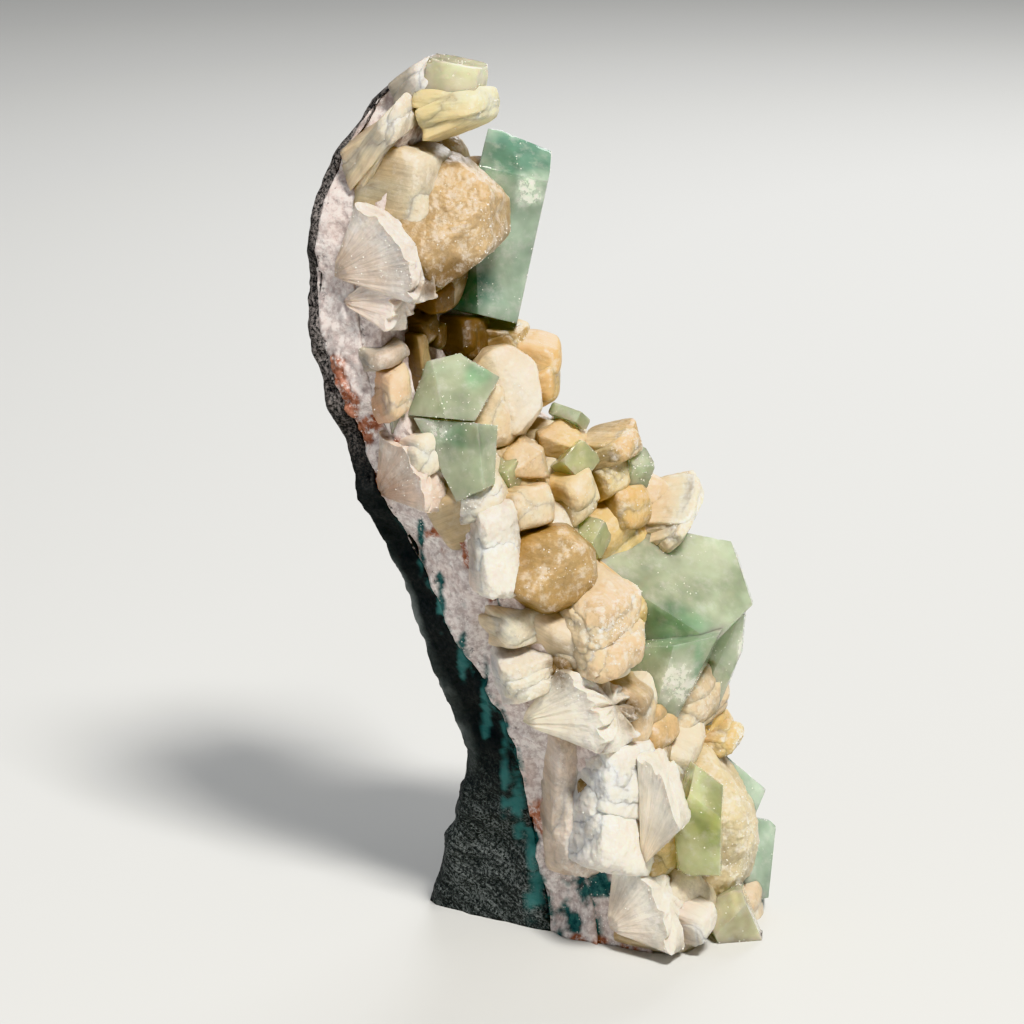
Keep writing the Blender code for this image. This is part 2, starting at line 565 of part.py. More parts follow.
def view_direction(angle, facing):
    """The direction that looks this way in the picture and turns `facing` degrees to the viewer."""
    angle, facing = math.radians(angle), math.radians(facing)
    level = EYE_RIGHT * math.cos(angle) + EYE_UP * math.sin(angle)
    return level * math.cos(facing) + EYE_BACK * math.sin(facing)


def block_shape(across, down, out, angles, size):
    """A square block with cut corners: its middle, and the outward direction and distance of each flat face."""
    axes = corner_axes(*angles)
    half = Vector(value * MM / 2 for value in size)
    inward = axes @ half / MM
    middle = on_face(across + inward.dot(EYE_RIGHT), down - inward.dot(EYE_UP), out * MM)
    sides = [(i, sign) for i in range(3) for sign in (-1, 1)]
    faces = [(axes.col[i] * sign, half[i]) for i, sign in sides]
    for corner in itertools.product((-1, 1), repeat=3):
        reach = (half.x + half.y + half.z) - 3 * CORNER_CUT * min(half)
        faces.append(((axes @ Vector(corner)).normalized(), reach / math.sqrt(3)))
    return middle, faces


def group_shape(seen_middle, faces):
    """The same for a crystal, or part of one, that is seen broadside."""
    across, down, out = seen_middle
    return on_face(across, down, out * MM), [(view_direction(a, f), reach * MM) for a, f, reach in faces]


def flat_faced_body(name, middle, faces, grow=0.0, hidden=False):
    """A crystal with flat faces: a cube, cut down by the plane of each face."""
    bm = bmesh.new()
    bmesh.ops.create_cube(bm, size=5 * max(reach for _, reach in faces))
    for direction, reach in faces:
        parts = bm.verts[:] + bm.edges[:] + bm.faces[:]
        place = direction * (reach + grow)
        bmesh.ops.bisect_plane(bm, geom=parts, plane_co=place, plane_no=direction, clear_outer=True)
        bmesh.ops.holes_fill(bm, edges=[edge for edge in bm.edges if edge.is_boundary])
    bmesh.ops.recalc_face_normals(bm, faces=bm.faces)
    bmesh.ops.translate(bm, vec=middle, verts=bm.verts)
    return new_object(name, bm, hidden)


def cut_or_join(target, operation, tools):
    """Joins the helpers to the target, or takes them away from it, in one Boolean."""
    group = bpy.data.collections.new(target.name + "_" + operation.lower())
    for tool in tools:
        group.objects.link(tool)
    modifier = target.modifiers.new(operation.lower(), "BOOLEAN")
    modifier.operation = operation
    modifier.operand_type = "COLLECTION"
    modifier.collection = group
    modifier.solver = "MANIFOLD"
    depsgraph = bpy.context.evaluated_depsgraph_get()
    mesh = bpy.data.meshes.new_from_object(target.evaluated_get(depsgraph))
    target.modifiers.clear()
    target.data = mesh
    bpy.data.collections.remove(group)
    return target


def islands_of(bm):
    """The connected bodies of a mesh, each as a set of its corners, with the largest last."""
    left = set(bm.verts)
    islands = []
    while left:
        island = set()
        front = [left.pop()]
        while front:
            vert = front.pop()
            island.add(vert)
            near = {edge.other_vert(vert) for edge in vert.link_edges} & left
            left -= near
            front += near
        islands.append(island)
    return sorted(islands, key=len)


def tidy_body(obj):
    """Joins the flat slivers of the cuts, and drops loose crumbs that they have left beside the main body."""
    bm = bmesh.new()
    bm.from_mesh(obj.data)
    bmesh.ops.dissolve_limit(bm, angle_limit=FLAT_ANGLE, verts=bm.verts, edges=bm.edges)
    bmesh.ops.triangulate(bm, faces=bm.faces)
    for island in islands_of(bm)[:-1]:
        bmesh.ops.delete(bm, geom=list(island), context="VERTS")
    bmesh.ops.recalc_face_normals(bm, faces=bm.faces)
    bm.to_mesh(obj.data)
    bm.free()
    return obj


def box_cutter(name, low, high):
    bm = bmesh.new()
    bmesh.ops.create_cube(bm, size=1.0)
    low, high = Vector(low), Vector(high)
    bmesh.ops.scale(bm, vec=high - low, verts=bm.verts)
    bmesh.ops.translate(bm, vec=(low + high) / 2, verts=bm.verts)
    return new_object(name, bm, hidden=True)


clear_scene()
basalt = layer("basalt_matrix", "back", "seam", 0.0, BASALT_TOP, -GAP / 2, BACK_ROUNDING_MM * MM)
rim = layer("pale_rim", "seam", "rim", 0.0, RIM_TOP, -GAP / 2)
druse = layer("stilbite_druse", "rim", "bed", -2 * MM, BED_TOP, GAP / 2)

shapes = {name: [block_shape(*row)] for name, row in BLOCKS_MM.items()}
shapes.update({name: [group_shape(*part) for part in parts] for name, parts in GROUPS_MM.items()})
ground = box_cutter("ground", (-0.3, -0.3, -0.1), (0.3, 0.3, 0.0))
rounding = BACK_ROUNDING_MM * MM
wall = [
    layer("basalt_room", "back", "seam", -4 * MM, BASALT_TOP + GAP, GAP / 2, rounding, hidden=True),
    layer("rim_room", "seam", "rim", -4 * MM, RIM_TOP + GAP, GAP / 2, hidden=True),
]
crystals = []
crystal_room = []
for name, parts in shapes.items():
    crystal = flat_faced_body(name, *parts[0])
    if len(parts) > 1:
        joined = [flat_faced_body(f"{name}_part_{k}", *part, hidden=True) for k, part in enumerate(parts[1:])]
        cut_or_join(crystal, "UNION", joined)
    cut_or_join(crystal, "DIFFERENCE", [ground] + wall)
    crystals.append(tidy_body(crystal))
    crystal_room += [flat_faced_body(f"{name}_room_{k}", *part, GAP, True) for k, part in enumerate(parts)]

tidy_body(cut_or_join(druse, "UNION", all_sheaves() + fillers()))
for cutters in (wall, crystal_room, [ground]):
    tidy_body(cut_or_join(druse, "DIFFERENCE", cutters))
for piece in [basalt, rim, druse] + crystals:
    finish_material(piece)
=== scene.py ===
"""Apophyllite cluster: the looks of green apophyllite on peach stilbite, with its basalt wall.

Numbers in names that end in _MM are millimetres. Places "seen" are millimetres across and down from
the top left corner of the viewer's picture, at the specimen's own scale. Everything else is metres in
the frame's own axes.
"""

import itertools
import json
import math
import random

import bmesh
import bpy
import numpy as np
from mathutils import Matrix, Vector

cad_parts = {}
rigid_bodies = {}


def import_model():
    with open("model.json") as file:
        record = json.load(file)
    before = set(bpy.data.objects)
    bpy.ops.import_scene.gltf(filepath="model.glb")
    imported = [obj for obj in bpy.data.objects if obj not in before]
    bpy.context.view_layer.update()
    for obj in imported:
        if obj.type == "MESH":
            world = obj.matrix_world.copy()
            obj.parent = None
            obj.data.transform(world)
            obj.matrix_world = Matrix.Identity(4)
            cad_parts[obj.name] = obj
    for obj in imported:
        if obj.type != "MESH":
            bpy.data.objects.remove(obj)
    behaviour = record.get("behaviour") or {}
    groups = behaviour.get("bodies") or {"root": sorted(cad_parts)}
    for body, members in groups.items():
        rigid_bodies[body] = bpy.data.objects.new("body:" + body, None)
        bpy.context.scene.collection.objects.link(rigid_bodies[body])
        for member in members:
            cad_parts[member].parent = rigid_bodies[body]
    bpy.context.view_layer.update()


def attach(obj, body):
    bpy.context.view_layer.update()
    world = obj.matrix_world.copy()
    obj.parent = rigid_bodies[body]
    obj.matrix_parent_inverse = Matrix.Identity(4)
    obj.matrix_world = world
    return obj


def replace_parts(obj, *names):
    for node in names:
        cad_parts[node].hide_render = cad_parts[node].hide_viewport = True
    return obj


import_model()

bl_info = {
    "name": "Apophyllite cluster",
    "version": (1, 0, 0),
    "blender": (4, 5, 0),
    "location": "View3D > Sidebar > Cluster",
    "description": "Builds a cluster of green apophyllite on peach stilbite around its solids",
    "category": "Add Mesh",
}

MM = 0.001

# The viewer's picture, the plate's near edge and the tables of crystals are the same as in the
# solids.
PICTURE_SIDE = 204.8 * MM
EYE_DISTANCE = 900 * MM
EYE_ELEVATION = math.radians(15)
AIM = np.array((-15.6, 0.0, 86.4)) * MM
EYE_RIGHT = np.array((1.0, 0.0, 0.0))
EYE_UP = np.array((0.0, math.sin(EYE_ELEVATION), math.cos(EYE_ELEVATION)))
EYE_BACK = np.array((0.0, -math.cos(EYE_ELEVATION), math.sin(EYE_ELEVATION)))
VIEW = np.array((EYE_RIGHT, EYE_UP, EYE_BACK))

NEAR_TURN = math.radians(33)
NEAR_OUT_OF_EDGE = np.array((-math.sin(NEAR_TURN), -math.cos(NEAR_TURN), 0.0))
UPWARD = np.array((0.0, 0.0, 1.0))

# One row for each level of the near edge: where the back, the seam, the front of the rim and the
# front of the bed are seen, the depth of the bed's corner, the plate's width and the turn of its
# crystal face.
STATIONS_MM = (
    # down, back, seam, rim, bed, corner y, width, turn in degrees
    (14, 80.5, 82.2, 86.0, 89.0, -14, 10, 25),
    (20, 73.8, 75.6, 80.5, 84.5, -14, 14, 25),
    (30, 66.8, 69.0, 74.5, 79.5, -15, 26, 26),
    (40, 62.8, 65.2, 71.0, 77.0, -16, 34, 27),
    (50, 61.0, 63.6, 70.5, 76.0, -16, 37, 28),
    (60, 60.6, 63.4, 71.5, 76.0, -16, 37, 29),
    (70, 62.0, 65.2, 72.6, 76.0, -16, 37, 31),
    (80, 65.2, 68.8, 74.6, 78.0, -17, 39, 33),
    (90, 68.8, 72.8, 79.0, 83.0, -17, 42, 36),
    (100, 72.2, 77.2, 84.5, 89.0, -18, 49, 38),
    (110, 76.8, 82.2, 92.0, 96.0, -18, 54, 38),
    (120, 80.6, 87.2, 99.0, 103.0, -19, 55, 37),
    (130, 85.2, 93.4, 105.0, 109.5, -19, 53, 34),
    (140, 89.0, 99.4, 108.5, 115.5, -20, 48, 30),
    (150, 92.4, 103.4, 110.5, 120.0, -20, 44, 26),
    (160, 92.2, 105.4, 112.5, 124.0, -20, 42, 23),
    (170, 88.6, 107.0, 115.5, 127.0, -20, 42, 20),
    (180, 85.4, 109.2, 118.5, 129.5, -20, 42, 19),
    (192, 82.0, 111.0, 120.5, 130.5, -20, 42, 18),
)
# How far the back's long edges are rounded, and the size of the swells of broken rock.
BACK_ROUNDING = 1.6 * MM
CRUMB = 9.0 * MM

# Stilbite sheaves: the box each is seen in, how far its middle stands off the bed, its width,
# thickness and length, the swing, rise and roll of its axis, its flare, and then its looks: edge
# softness, number of blades, the colours of its root and its tip, and how frosted it is. A broken
# fan has no width, as the box gives it, and half its angle of spread and its number of ribs stand
# in place of flare, softness and blades.
# The last two colours of this line are used only for painted shade in dressed(): browner creases and deep shade
# spots.
CREAM, IVORY, PEACH, HONEY, CREASE_SHADE_AMBER, SHADE_UMBER = "DED3BD", "E9E3D6", "D6C1A1", "C7AA80", "8F6A3A", "6B5029"
ROSE, LILAC, TAN, BROWN, ASH = "DCCABB", "D8D1CA", "C2AC88", "8A7049", "B9AF9E"
SHEAVES_MM = {}
SHEAVES_MM["stilbite_crown"] = {
    "crown_back": (77.6, 11.2, 89.2, 24.0, 1, 10, 9, 12, -10, 35, 10, 0.1, 12, 3, ASH, LILAC, 0.3),
    "crown_right": (82.4, 16.4, 100.0, 28.4, 6, 16, 12, 17, 5, 12, -8, 0.1, 16, 4, "D9C596", "EBE1BC", 0.45),
    "left_blade": (68.0, 18.4, 84.0, 39.0, 2, 12, 11, 20, -12, 38, 12, 0.05, 24, 5, "DCC6A6", "D6CCBC", 0.4),
    "crown_main": (77.0, 27.6, 102.2, 58.4, 8, 22, 24, 26, -14, 14, 18, 0, 22, 1, "A2875F", "B89F7A", 0.75),
    "blade_seat": (88.0, 31.0, 103.0, 60.0, 3, 14, 24, 12, 5, 0, 0, 0.1, 14, 3, BROWN, TAN, 0.2),
    # under_block's dark browns are painted shade under the crown.
    "under_block": (82.8, 55.0, 91.0, 63.0, 5, 8, 7, 10, -10, -8, 10, 0.1, 24, 1, "57401F", "7A5C33", 0.1),
}
# The dark browns of recess_left, recess_right, recess_post and recess_shade are painted shade in the recess under
# the crown.
SHEAVES_MM["stilbite_recess"] = {
    "recess_left": (81.0, 61.0, 88.0, 69.0, 2, 6, 6, 8, -8, 5, 15, 0.1, 24, 2, "4A361C", "7E6440", 0.1),
    "recess_right": (84.0, 63.6, 89.4, 70.0, 3, 6, 6, 8, 4, 0, -10, 0.1, 24, 1, "3B2A14", "5A431F", 0.1),
    "recess_post": (81.0, 65.6, 86.6, 78.6, 2, 5, 10, 9, -5, 12, 5, 0.1, 24, 2, "5A4427", "A08862", 0.1),
    "recess_shade": (86.0, 62.4, 98.4, 73.0, 2, 12, 10, 14, 0, 4, -6, 0.1, 24, 2, "33240F", "5F4520", 0.1),
    "peach_wedge": (73.6, 71.0, 82.4, 84.8, 0, 8, 10, 11, -22, 10, 8, 0.1, 22, 3, "D6A684", PEACH, 0.3),
    "grey_ledge": (71.0, 66.6, 82.0, 74.4, -1, 10, 6, 10, -28, 4, 12, 0.1, 14, 3, ASH, "B0A090", 0.2),
    "bridge_side": (79.0, 84.0, 90.0, 96.0, 0, 10, 11, 11, -18, 10, 12, 0.1, 14, 3, ROSE, CREAM, 0.3),
}
SHEAVES_MM["stilbite_middle"] = {
    "rear_shoulder": (93.0, 62.6, 106.0, 72.0, 7, 12, 9, 15, 12, 8, 10, 0.1, 14, 3, HONEY, "DFC48C", 0.6),
    "rear_disc": (102.4, 65.6, 112.4, 84.0, 8, 11, 17, 16, 25, 8, 8, 0.2, 12, 6, HONEY, "D6B278", 0.4),
    "middle_disc": (92.4, 68.4, 108.6, 88.4, 10, 17, 18, 18, -14, 12, 35, 0, 20, 1, "CDB592", IVORY, 0.6),
    "pentagon": (98.8, 86.4, 110.0, 96.0, 9, 10, 9, 14, -12, 12, 8, 0, 24, 1, HONEY, PEACH, 0.4),
    "facet_peach": (105.6, 82.4, 117.6, 93.6, 8, 11, 10, 15, -6, 16, -14, 0, 24, 1, HONEY, "E0C48A", 0.4),
    "peach_tall": (109.0, 92.4, 120.0, 106.4, 9, 10, 13, 14, -14, 12, 18, 0.1, 20, 3, "D2B686", "DECBA6", 0.4),
    "peach_lump": (97.6, 96.0, 111.0, 107.2, 7, 13, 11, 15, -14, 12, -8, 0.1, 14, 3, HONEY, PEACH, 0.3),
    "bridge_upper": (88.6, 93.6, 101.0, 105.0, 3, 12, 10, 13, -18, 10, 12, 0.1, 14, 4, ROSE, CREAM, 0.5),
}
SHEAVES_MM["stilbite_shoulder"] = {
    "skyline_round": (115.2, 83.6, 128.6, 95.2, 8, 13, 11, 16, 4, 18, 10, 0.1, 12, 4, TAN, "D0B082", 0.7),
    "brown_round": (115.0, 88.8, 126.4, 101.2, 10, 11, 12, 14, -8, 14, 14, 0.1, 14, 2, "C29C62", "D2BC90", 0.5),
    "orange_block": (118.4, 94.8, 130.4, 106.4, 9, 12, 11, 15, -8, 6, -6, 0.1, 18, 3, HONEY, "D8B47A", 0.4),
    "feather_sheaf": (125.0, 94.0, 140.8, 112.0, 9, 15, 14, 17, 6, 22, 30, 0.25, 12, 9, PEACH, CREAM, 0.9),
    "great_seat": (122.0, 108.0, 146.0, 130.0, 3, 20, 18, 16, -4, 4, 10, 0.1, 14, 4, PEACH, CREAM, 0.4),
}
SHEAVES_MM["stilbite_slope"] = {
    "amber_round": (100.0, 104.4, 119.6, 123.6, 8, 18, 18, 19, -16, 8, 14, 0, 14, 1, "9C7C4C", "AF9468", 0.6),
    "cream_round": (95.6, 117.6, 110.4, 129.6, 3, 14, 11, 15, -22, 0, 10, 0.1, 14, 3, PEACH, CREAM, 0.4),
    "druzy_peach": (109.0, 111.2, 129.0, 136.4, 8, 18, 22, 20, -10, 2, 8, 0.1, 14, 6, PEACH, "DCC09A", 1.0),
    "pale_block": (118.4, 125.6, 126.4, 136.0, 12, 8, 9, 10, -20, -14, 12, 0.1, 18, 2, PEACH, CREAM, 0.6),
    "pocket_low": (107.0, 128.0, 118.6, 141.0, 1, 10, 11, 10, -16, 10, 10, 0.1, 14, 3, BROWN, TAN, 0.2),
    "pocket_mid": (121.0, 137.0, 136.0, 153.0, 3, 12, 13, 13, -10, 8, 10, 0.1, 16, 3, BROWN, HONEY, 0.3),
}
SHEAVES_MM["stilbite_foot"] = {
    "rear_low": (124.0, 128.0, 146.0, 150.0, 2, 20, 18, 18, -4, 4, 10, 0.1, 14, 5, HONEY, PEACH, 0.6),
    "golden_crust": (136.0, 143.6, 148.8, 154.0, 8, 11, 9, 15, 0, 12, 10, 0.1, 12, 5, HONEY, "DCC088", 1.0),
    "big_round": (130.6, 146.0, 152.2, 180.0, 8, 20, 32, 22, -12, 4, 4, 0, 11, 1, "CAB48C", "DDD0AC", 1.0),
    "edge_seat": (136.0, 154.0, 148.4, 186.0, 3, 14, 30, 14, 0, 0, 5, 0.1, 14, 4, PEACH, CREAM, 0.4),
    "foot_wedge": (132.0, 178.0, 143.4, 189.2, 7, 8, 9, 12, -16, 0, 20, 0.1, 22, 3, ROSE, IVORY, 0.4),
    "foot_rear": (140.0, 175.0, 152.8, 187.0, 9, 12, 12, 14, 0, 0, 8, 0.1, 18, 3, ROSE, PEACH, 0.4),
}
EDGE_SHEAVES_MM = {}
EDGE_SHEAVES_MM["stilbite_upper_break"] = {
    "shell_fan": (66.6, 40.0, 88.0, 60.8, 0, 9, 21, -4, 30, 84, 44, 60, "D8C3B0", "DDD6CE", 0.6),
    "pink_fan": (68.6, 53.6, 83.0, 66.4, 0, 8, 14, -4, 8, 84, 40, 44, "E8D0BC", "EEE2D8", 0.6),
    "left_fan": (75.2, 85.6, 90.4, 102.6, 0, 8, 16, -4, 40, 84, 46, 34, "B89C88", "D9C8B9", 0.6),
    "broken_white": (93.0, 99.0, 104.6, 120.0, -1, 9, 18, 12, -32, 0, 5, 0.2, 24, 3, ROSE, IVORY, 0.9),
}
EDGE_SHEAVES_MM["stilbite_lower_break"] = {
    "rough_upper": (98.0, 125.0, 113.0, 141.0, -0.5, 12, 12, 12, -36, 0, 12, 0.1, 20, 5, LILAC, CREAM, 0.9),
    "big_white_fan": (104.6, 133.0, 128.2, 150.6, 1, 12, 22, -4, 24, 84, 40, 60, "E8DCC4", "F2ECDF", 0.7),
    "rim_face": (107.6, 143.0, 122.4, 175.6, -2.5, 12, 24, 12, -36, 0, 5, 0.1, 24, 2, "D2BEAA", "DFCFC0", 0.75),
    "rough_white": (113.0, 144.0, 132.0, 175.4, -3, 14, 22, 13, -32, 4, -12, 0.15, 20, 6, LILAC, IVORY, 1.0),
    "striated_fan": (127.4, 149.8, 138.2, 173.6, 0.1, 10, 18, -4, 62, 84, 32, 44, "DACBB4", IVORY, 0.5),
    "foot_fan": (121.6, 170.0, 137.2, 190.6, 1, 12, 19, -4, 38, 84, 46, 52, "DCCDBC", IVORY, 0.6),
}
# How far the faces of a blade lean from square, and those that cut its corners; how far blades splay.
LEAN, CORNER_LEAN, SPLAY = 0.22, 1.1, 0.5
# Crystals stay this far in from the near edge, and within this share of the plate's width.
NEAR_MARGIN, FAR_SHARE = 2 * MM, 0.86
# Low sheaves between the others: their size, and the steps between rows and along a row.
FILLER_MM, ROW_STEP_MM, ALONG_STEP_MM = 15.5, 14.5, 13.5
# How near they come to the near edge, the shares of their size that rows keep from the foot, the near
# edge and the far end, and the windows of the picture kept clear of them: left, top, right, bottom.
NEAREST_FILLER_MM = 8.5
FILLER_FOOT, FILLER_NEAR, FILLER_FAR = 0.45, 0.4, 0.25
CLEAR_MM = ((79.0, 58.0, 104.0, 71.0), (74.0, 68.0, 92.0, 92.0))
FILLER_TONES = ((HONEY, PEACH), (TAN, CREAM), (BROWN, TAN), (PEACH, CREAM), (HONEY, "E0C48A"))
FILLER_SEED = 7

# Sheaves whose flat faces show: each face's direction in the picture, how far it turns to the
# viewer, its distance.
SHEAF_FACES_MM = {
    "crown_main": (
        (0, 20, 12.6), (52, 12, 13.4), (95, 18, 14.6), (138, 12, 14.0), (182, 12, 13.0), (228, 10, 13.6),
        (-60, -8, 11.4), (-38, 8, 12.6), (110, 72, 9.0), (-35, 60, 10.4), (0, -70, 12.0), (180, -60, 12.0),
    ),
    "big_round": (
        (0, 15, 10.0), (38, 10, 9.8), (70, 15, 15.0), (110, 15, 15.4), (180, 10, 10.6), (215, 12, 13.6),
        (-38, 10, 13.2), (-90, -6, 15.4), (80, 68, 9.6), (-80, 64, 9.6), (0, -70, 11.0), (180, -60, 11.0),
    ),
    "middle_disc": (
        (10, 5, 8.0), (55, 8, 9.0), (100, 8, 9.6), (145, 8, 8.4), (190, 5, 8.0), (235, 8, 9.4),
        (280, 5, 9.8), (325, 8, 8.8), (200, 70, 4.6), (20, 68, 5.0), (0, -70, 6.0), (180, -60, 6.0),
    ),
    "amber_round": (
        (5, 8, 9.6), (50, 12, 9.4), (100, 12, 9.0), (150, 10, 9.4), (195, 8, 9.8), (240, 8, 9.6),
        (290, 6, 9.4), (330, 8, 9.6), (120, 66, 7.0), (-30, 60, 7.4), (0, -70, 8.0), (180, -60, 8.0),
    ),
    "pentagon": (
        (10, 10, 5.4), (62, 15, 4.6), (128, 15, 4.8), (190, 10, 5.2), (-90, 0, 4.6), (100, 66, 3.4),
        (-40, 55, 4.0), (0, -70, 6.0),
    ),
    "facet_peach": (
        (-10, 10, 5.6), (42, 15, 4.8), (118, 15, 5.0), (190, 10, 5.6), (-112, 0, 5.2), (80, 62, 3.6),
        (-120, 58, 4.2), (0, -70, 6.0),
    ),
}

# Apophyllite blocks: where the corner nearest the viewer is seen, how far the middle stands off the
# bed, how the three edges at that corner run in the picture, their lengths, and the finish.
BLOCKS_MM = {
    "apophyllite_crown": (95.6, 14.6, 5, (166, 40, -100), (10.5, 8, 8.6), "straw"),
    "apophyllite_side": (79.2, 81.0, 3, (128, 22, -98), (7, 2.6, 9), "mint"),
    "apophyllite_ledge": (112.2, 92.2, 9, (205, 48, -45), (13, 6.5, 6), "olive"),
    "apophyllite_chip": (101.4, 94.6, 7, (170, 50, -75), (5, 5, 6), "olive"),
    "apophyllite_shoulder": (126.6, 93.4, 11, (118, 5, -108), (6, 5, 7), "mint"),
    "apophyllite_olive": (118.4, 108.6, 9, (62, 168, -65), (6, 5, 6), "olive"),
    "apophyllite_splinter": (115.2, 84.6, 8, (160, 65, -40), (7, 2.5, 5), "mint"),
}
CORNER_CUT = 0.12

# Apophyllites seen broadside. Each part has its middle, and for each flat face the direction in the
# picture it looks, how far it turns to the viewer and its distance.
GROUPS_MM = {
    "apophyllite_blade": ("teal", (
        ((101.0, 46.0, 9), (
            (-80, 76, 6.0), (72, 46, 13.6), (-12.4, 0, 6.3), (-4.4, 0, 8.0), (67.8, 0, 17.9), (84.7, 0, 19.6),
            (257.4, 0, 17.6), (167.6, 0, 7.6), (200, 50, 8.6), (0, -70, 7.0), (180, -60, 8.0),
        )),
    )),
    "apophyllite_middle_upper": ("mint", (
        ((90.4, 77.6, 8), (
            (80, 62, 4.5), (165, 45, 5.6), (59, 0, 6.6), (-29, 0, 7.2), (264.5, 0, 6.2), (160, 0, 6.4),
            (104, 0, 6.2), (0, -60, 6.0), (180, -60, 6.0),
        )),
    )),
    "apophyllite_middle_lower": ("mint", (
        ((92.0, 90.4, 7), (
            (200, 60, 4.5), (0, 35, 7.5), (84.5, 0, 5.8), (-3, 0, 7.1), (-65, 0, 8.6), (207, 0, 5.0),
            (0, -60, 6.0), (180, -60, 6.0),
        )),
    )),
    "apophyllite_great": ("mint", (
        ((136.0, 117.0, 9), (
            (57, 50, 6.1), (237, 58, 14.25), (84, -15, 10.4), (115, -15, 11.0), (128, -10, 12.4),
            (217, 5, 14.0), (20, 5, 12.6), (-48, 0, 12.7), (-60, -60, 9.0), (180, -70, 9.0),
        )),
        ((132.4, 137.6, 7), (
            (215, 5, 6.4), (-27, 5, 5.5), (270, 0, 9.8), (200, 55, 5.5), (-60, 60, 5.5), (100, 10, 10.0),
            (90, -60, 8.0),
        )),
        ((142.4, 134.4, 9), (
            (-5, 5, 5.7), (-22, 5, 4.0), (-76, 5, 10.5), (231, 5, 10.5), (152, 5, 2.6), (111, 10, 9.3),
            (-20, 62, 4.4), (150, 55, 4.0), (0, -70, 8.0),
        )),
    )),
    "apophyllite_low": ("olive", (
        ((140.0, 164.4, 14), (
            (52, 50, 6.8), (232, 60, 3.5), (-2, 5, 4.4), (90, 0, 12.0), (53, 0, 8.6), (162, 5, 4.6),
            (190, 5, 5.5), (244, 5, 10.4), (270, 5, 10.6), (0, -70, 7.0),
        )),
    )),
    "apophyllite_edge_upper": ("teal", (
        ((150.0, 157.8, 9), (
            (45, 65, 3.0), (50, 0, 2.1), (-25, 0, 2.9), (160, 0, 7.0), (260, 0, 5.0), (0, -70, 5.0),
            (120, -40, 6.0),
        )),
    )),
    "apophyllite_edge_lower": ("teal", (
        ((152.0, 171.6, 9), (
            (-7, 0, 2.5), (80, 0, 8.0), (50, 0, 7.2), (231, 0, 6.1), (170, 0, 7.0), (20, 60, 3.0),
            (0, -70, 5.0), (-80, 0, 8.0),
        )),
    )),
    "apophyllite_foot": ("straw", (
        ((146.4, 183.6, 13), (
            (90, 10, 6.6), (21, 5, 4.2), (-45, 0, 7.4), (203, 5, 4.9), (120, 5, 5.4), (-70, 55, 4.2),
            (160, 50, 4.4), (0, -70, 7.0), (270, -20, 8.0),
        )),
    )),
}
# Finishes of the green crystals: the colour of the deep zones, the colour and density of
# absorption, and the slot.
FINISHES = {
    "mint": ("A9CBA8", "C8DDBE", 14.0, "apophyllite_mint"),
    "teal": ("82AA96", "BCDAC6", 16.0, "apophyllite_mint"),
    "olive": ("BFC98C", "D0D69C", 11.0, "apophyllite_olive"),
    "straw": ("D2CB9A", "E4E0B8", 12.0, "apophyllite_olive"),
}


def linear(code):
    """The linear colour of an sRGB hex code."""
    channels = [int(code[k:k + 2], 16) / 255 for k in (0, 2, 4)]
    return tuple(c / 12.92 if c <= 0.04045 else ((c + 0.055) / 1.055) ** 2.4 for c in channels)


def colour_property(name, description, code):
    return bpy.props.FloatVectorProperty(
        name=name, description=description, subtype="COLOR", min=0.0, max=1.0, default=linear(code)
    )


def length_property(name, description, value_mm):
    return bpy.props.FloatProperty(
        name=name, description=description, unit="LENGTH", subtype="DISTANCE", min=0.0, default=value_mm * MM
    )


class ClusterSizes(bpy.types.PropertyGroup):
    cell: length_property("Mesh cell", "Side of one face of a crystal's surface", 0.5)
    low_cell: length_property("Low sheaf mesh cell", "Side of one face of a low sheaf", 1.0)
    rock_cell: length_property("Rock mesh cell", "Side of one face of the rock", 0.55)
    rock_relief: length_property("Rock relief", "How far broken rock stands in or out", 1.8)
    grit_relief: length_property("Grit", "Height of the rock's grains", 0.32)
    grain_height: length_property("Crystal grains", "Height of the small crystals on rough sheaves", 0.3)
    crust: length_property("Crust", "Height of the slow swells of the broken rim", 0.7)
    pit_depth: length_property("Pits", "Depth of the small gas pits", 0.9)
    blade_step: length_property("Blade step", "How far one blade of a sheaf stands past the next", 1.0)
    lump: length_property("Lumps", "Height of the slow swells of a sheaf", 0.3)
    line_depth: length_property("Growth lines", "Depth of the fine lines along a sheaf", 0.07)
    rib_depth: length_property("Ribs", "Depth of the ribs of a broken fan", 0.24)
    face_step: length_property("Face steps", "Height of growth steps on green faces", 0.1)
    chip: length_property("Chipped edge", "How deep the edges of green crystals are chipped", 0.35)
    sparkle: length_property("Sparkling grain", "Size of the tiny crystals that catch the light", 0.26)


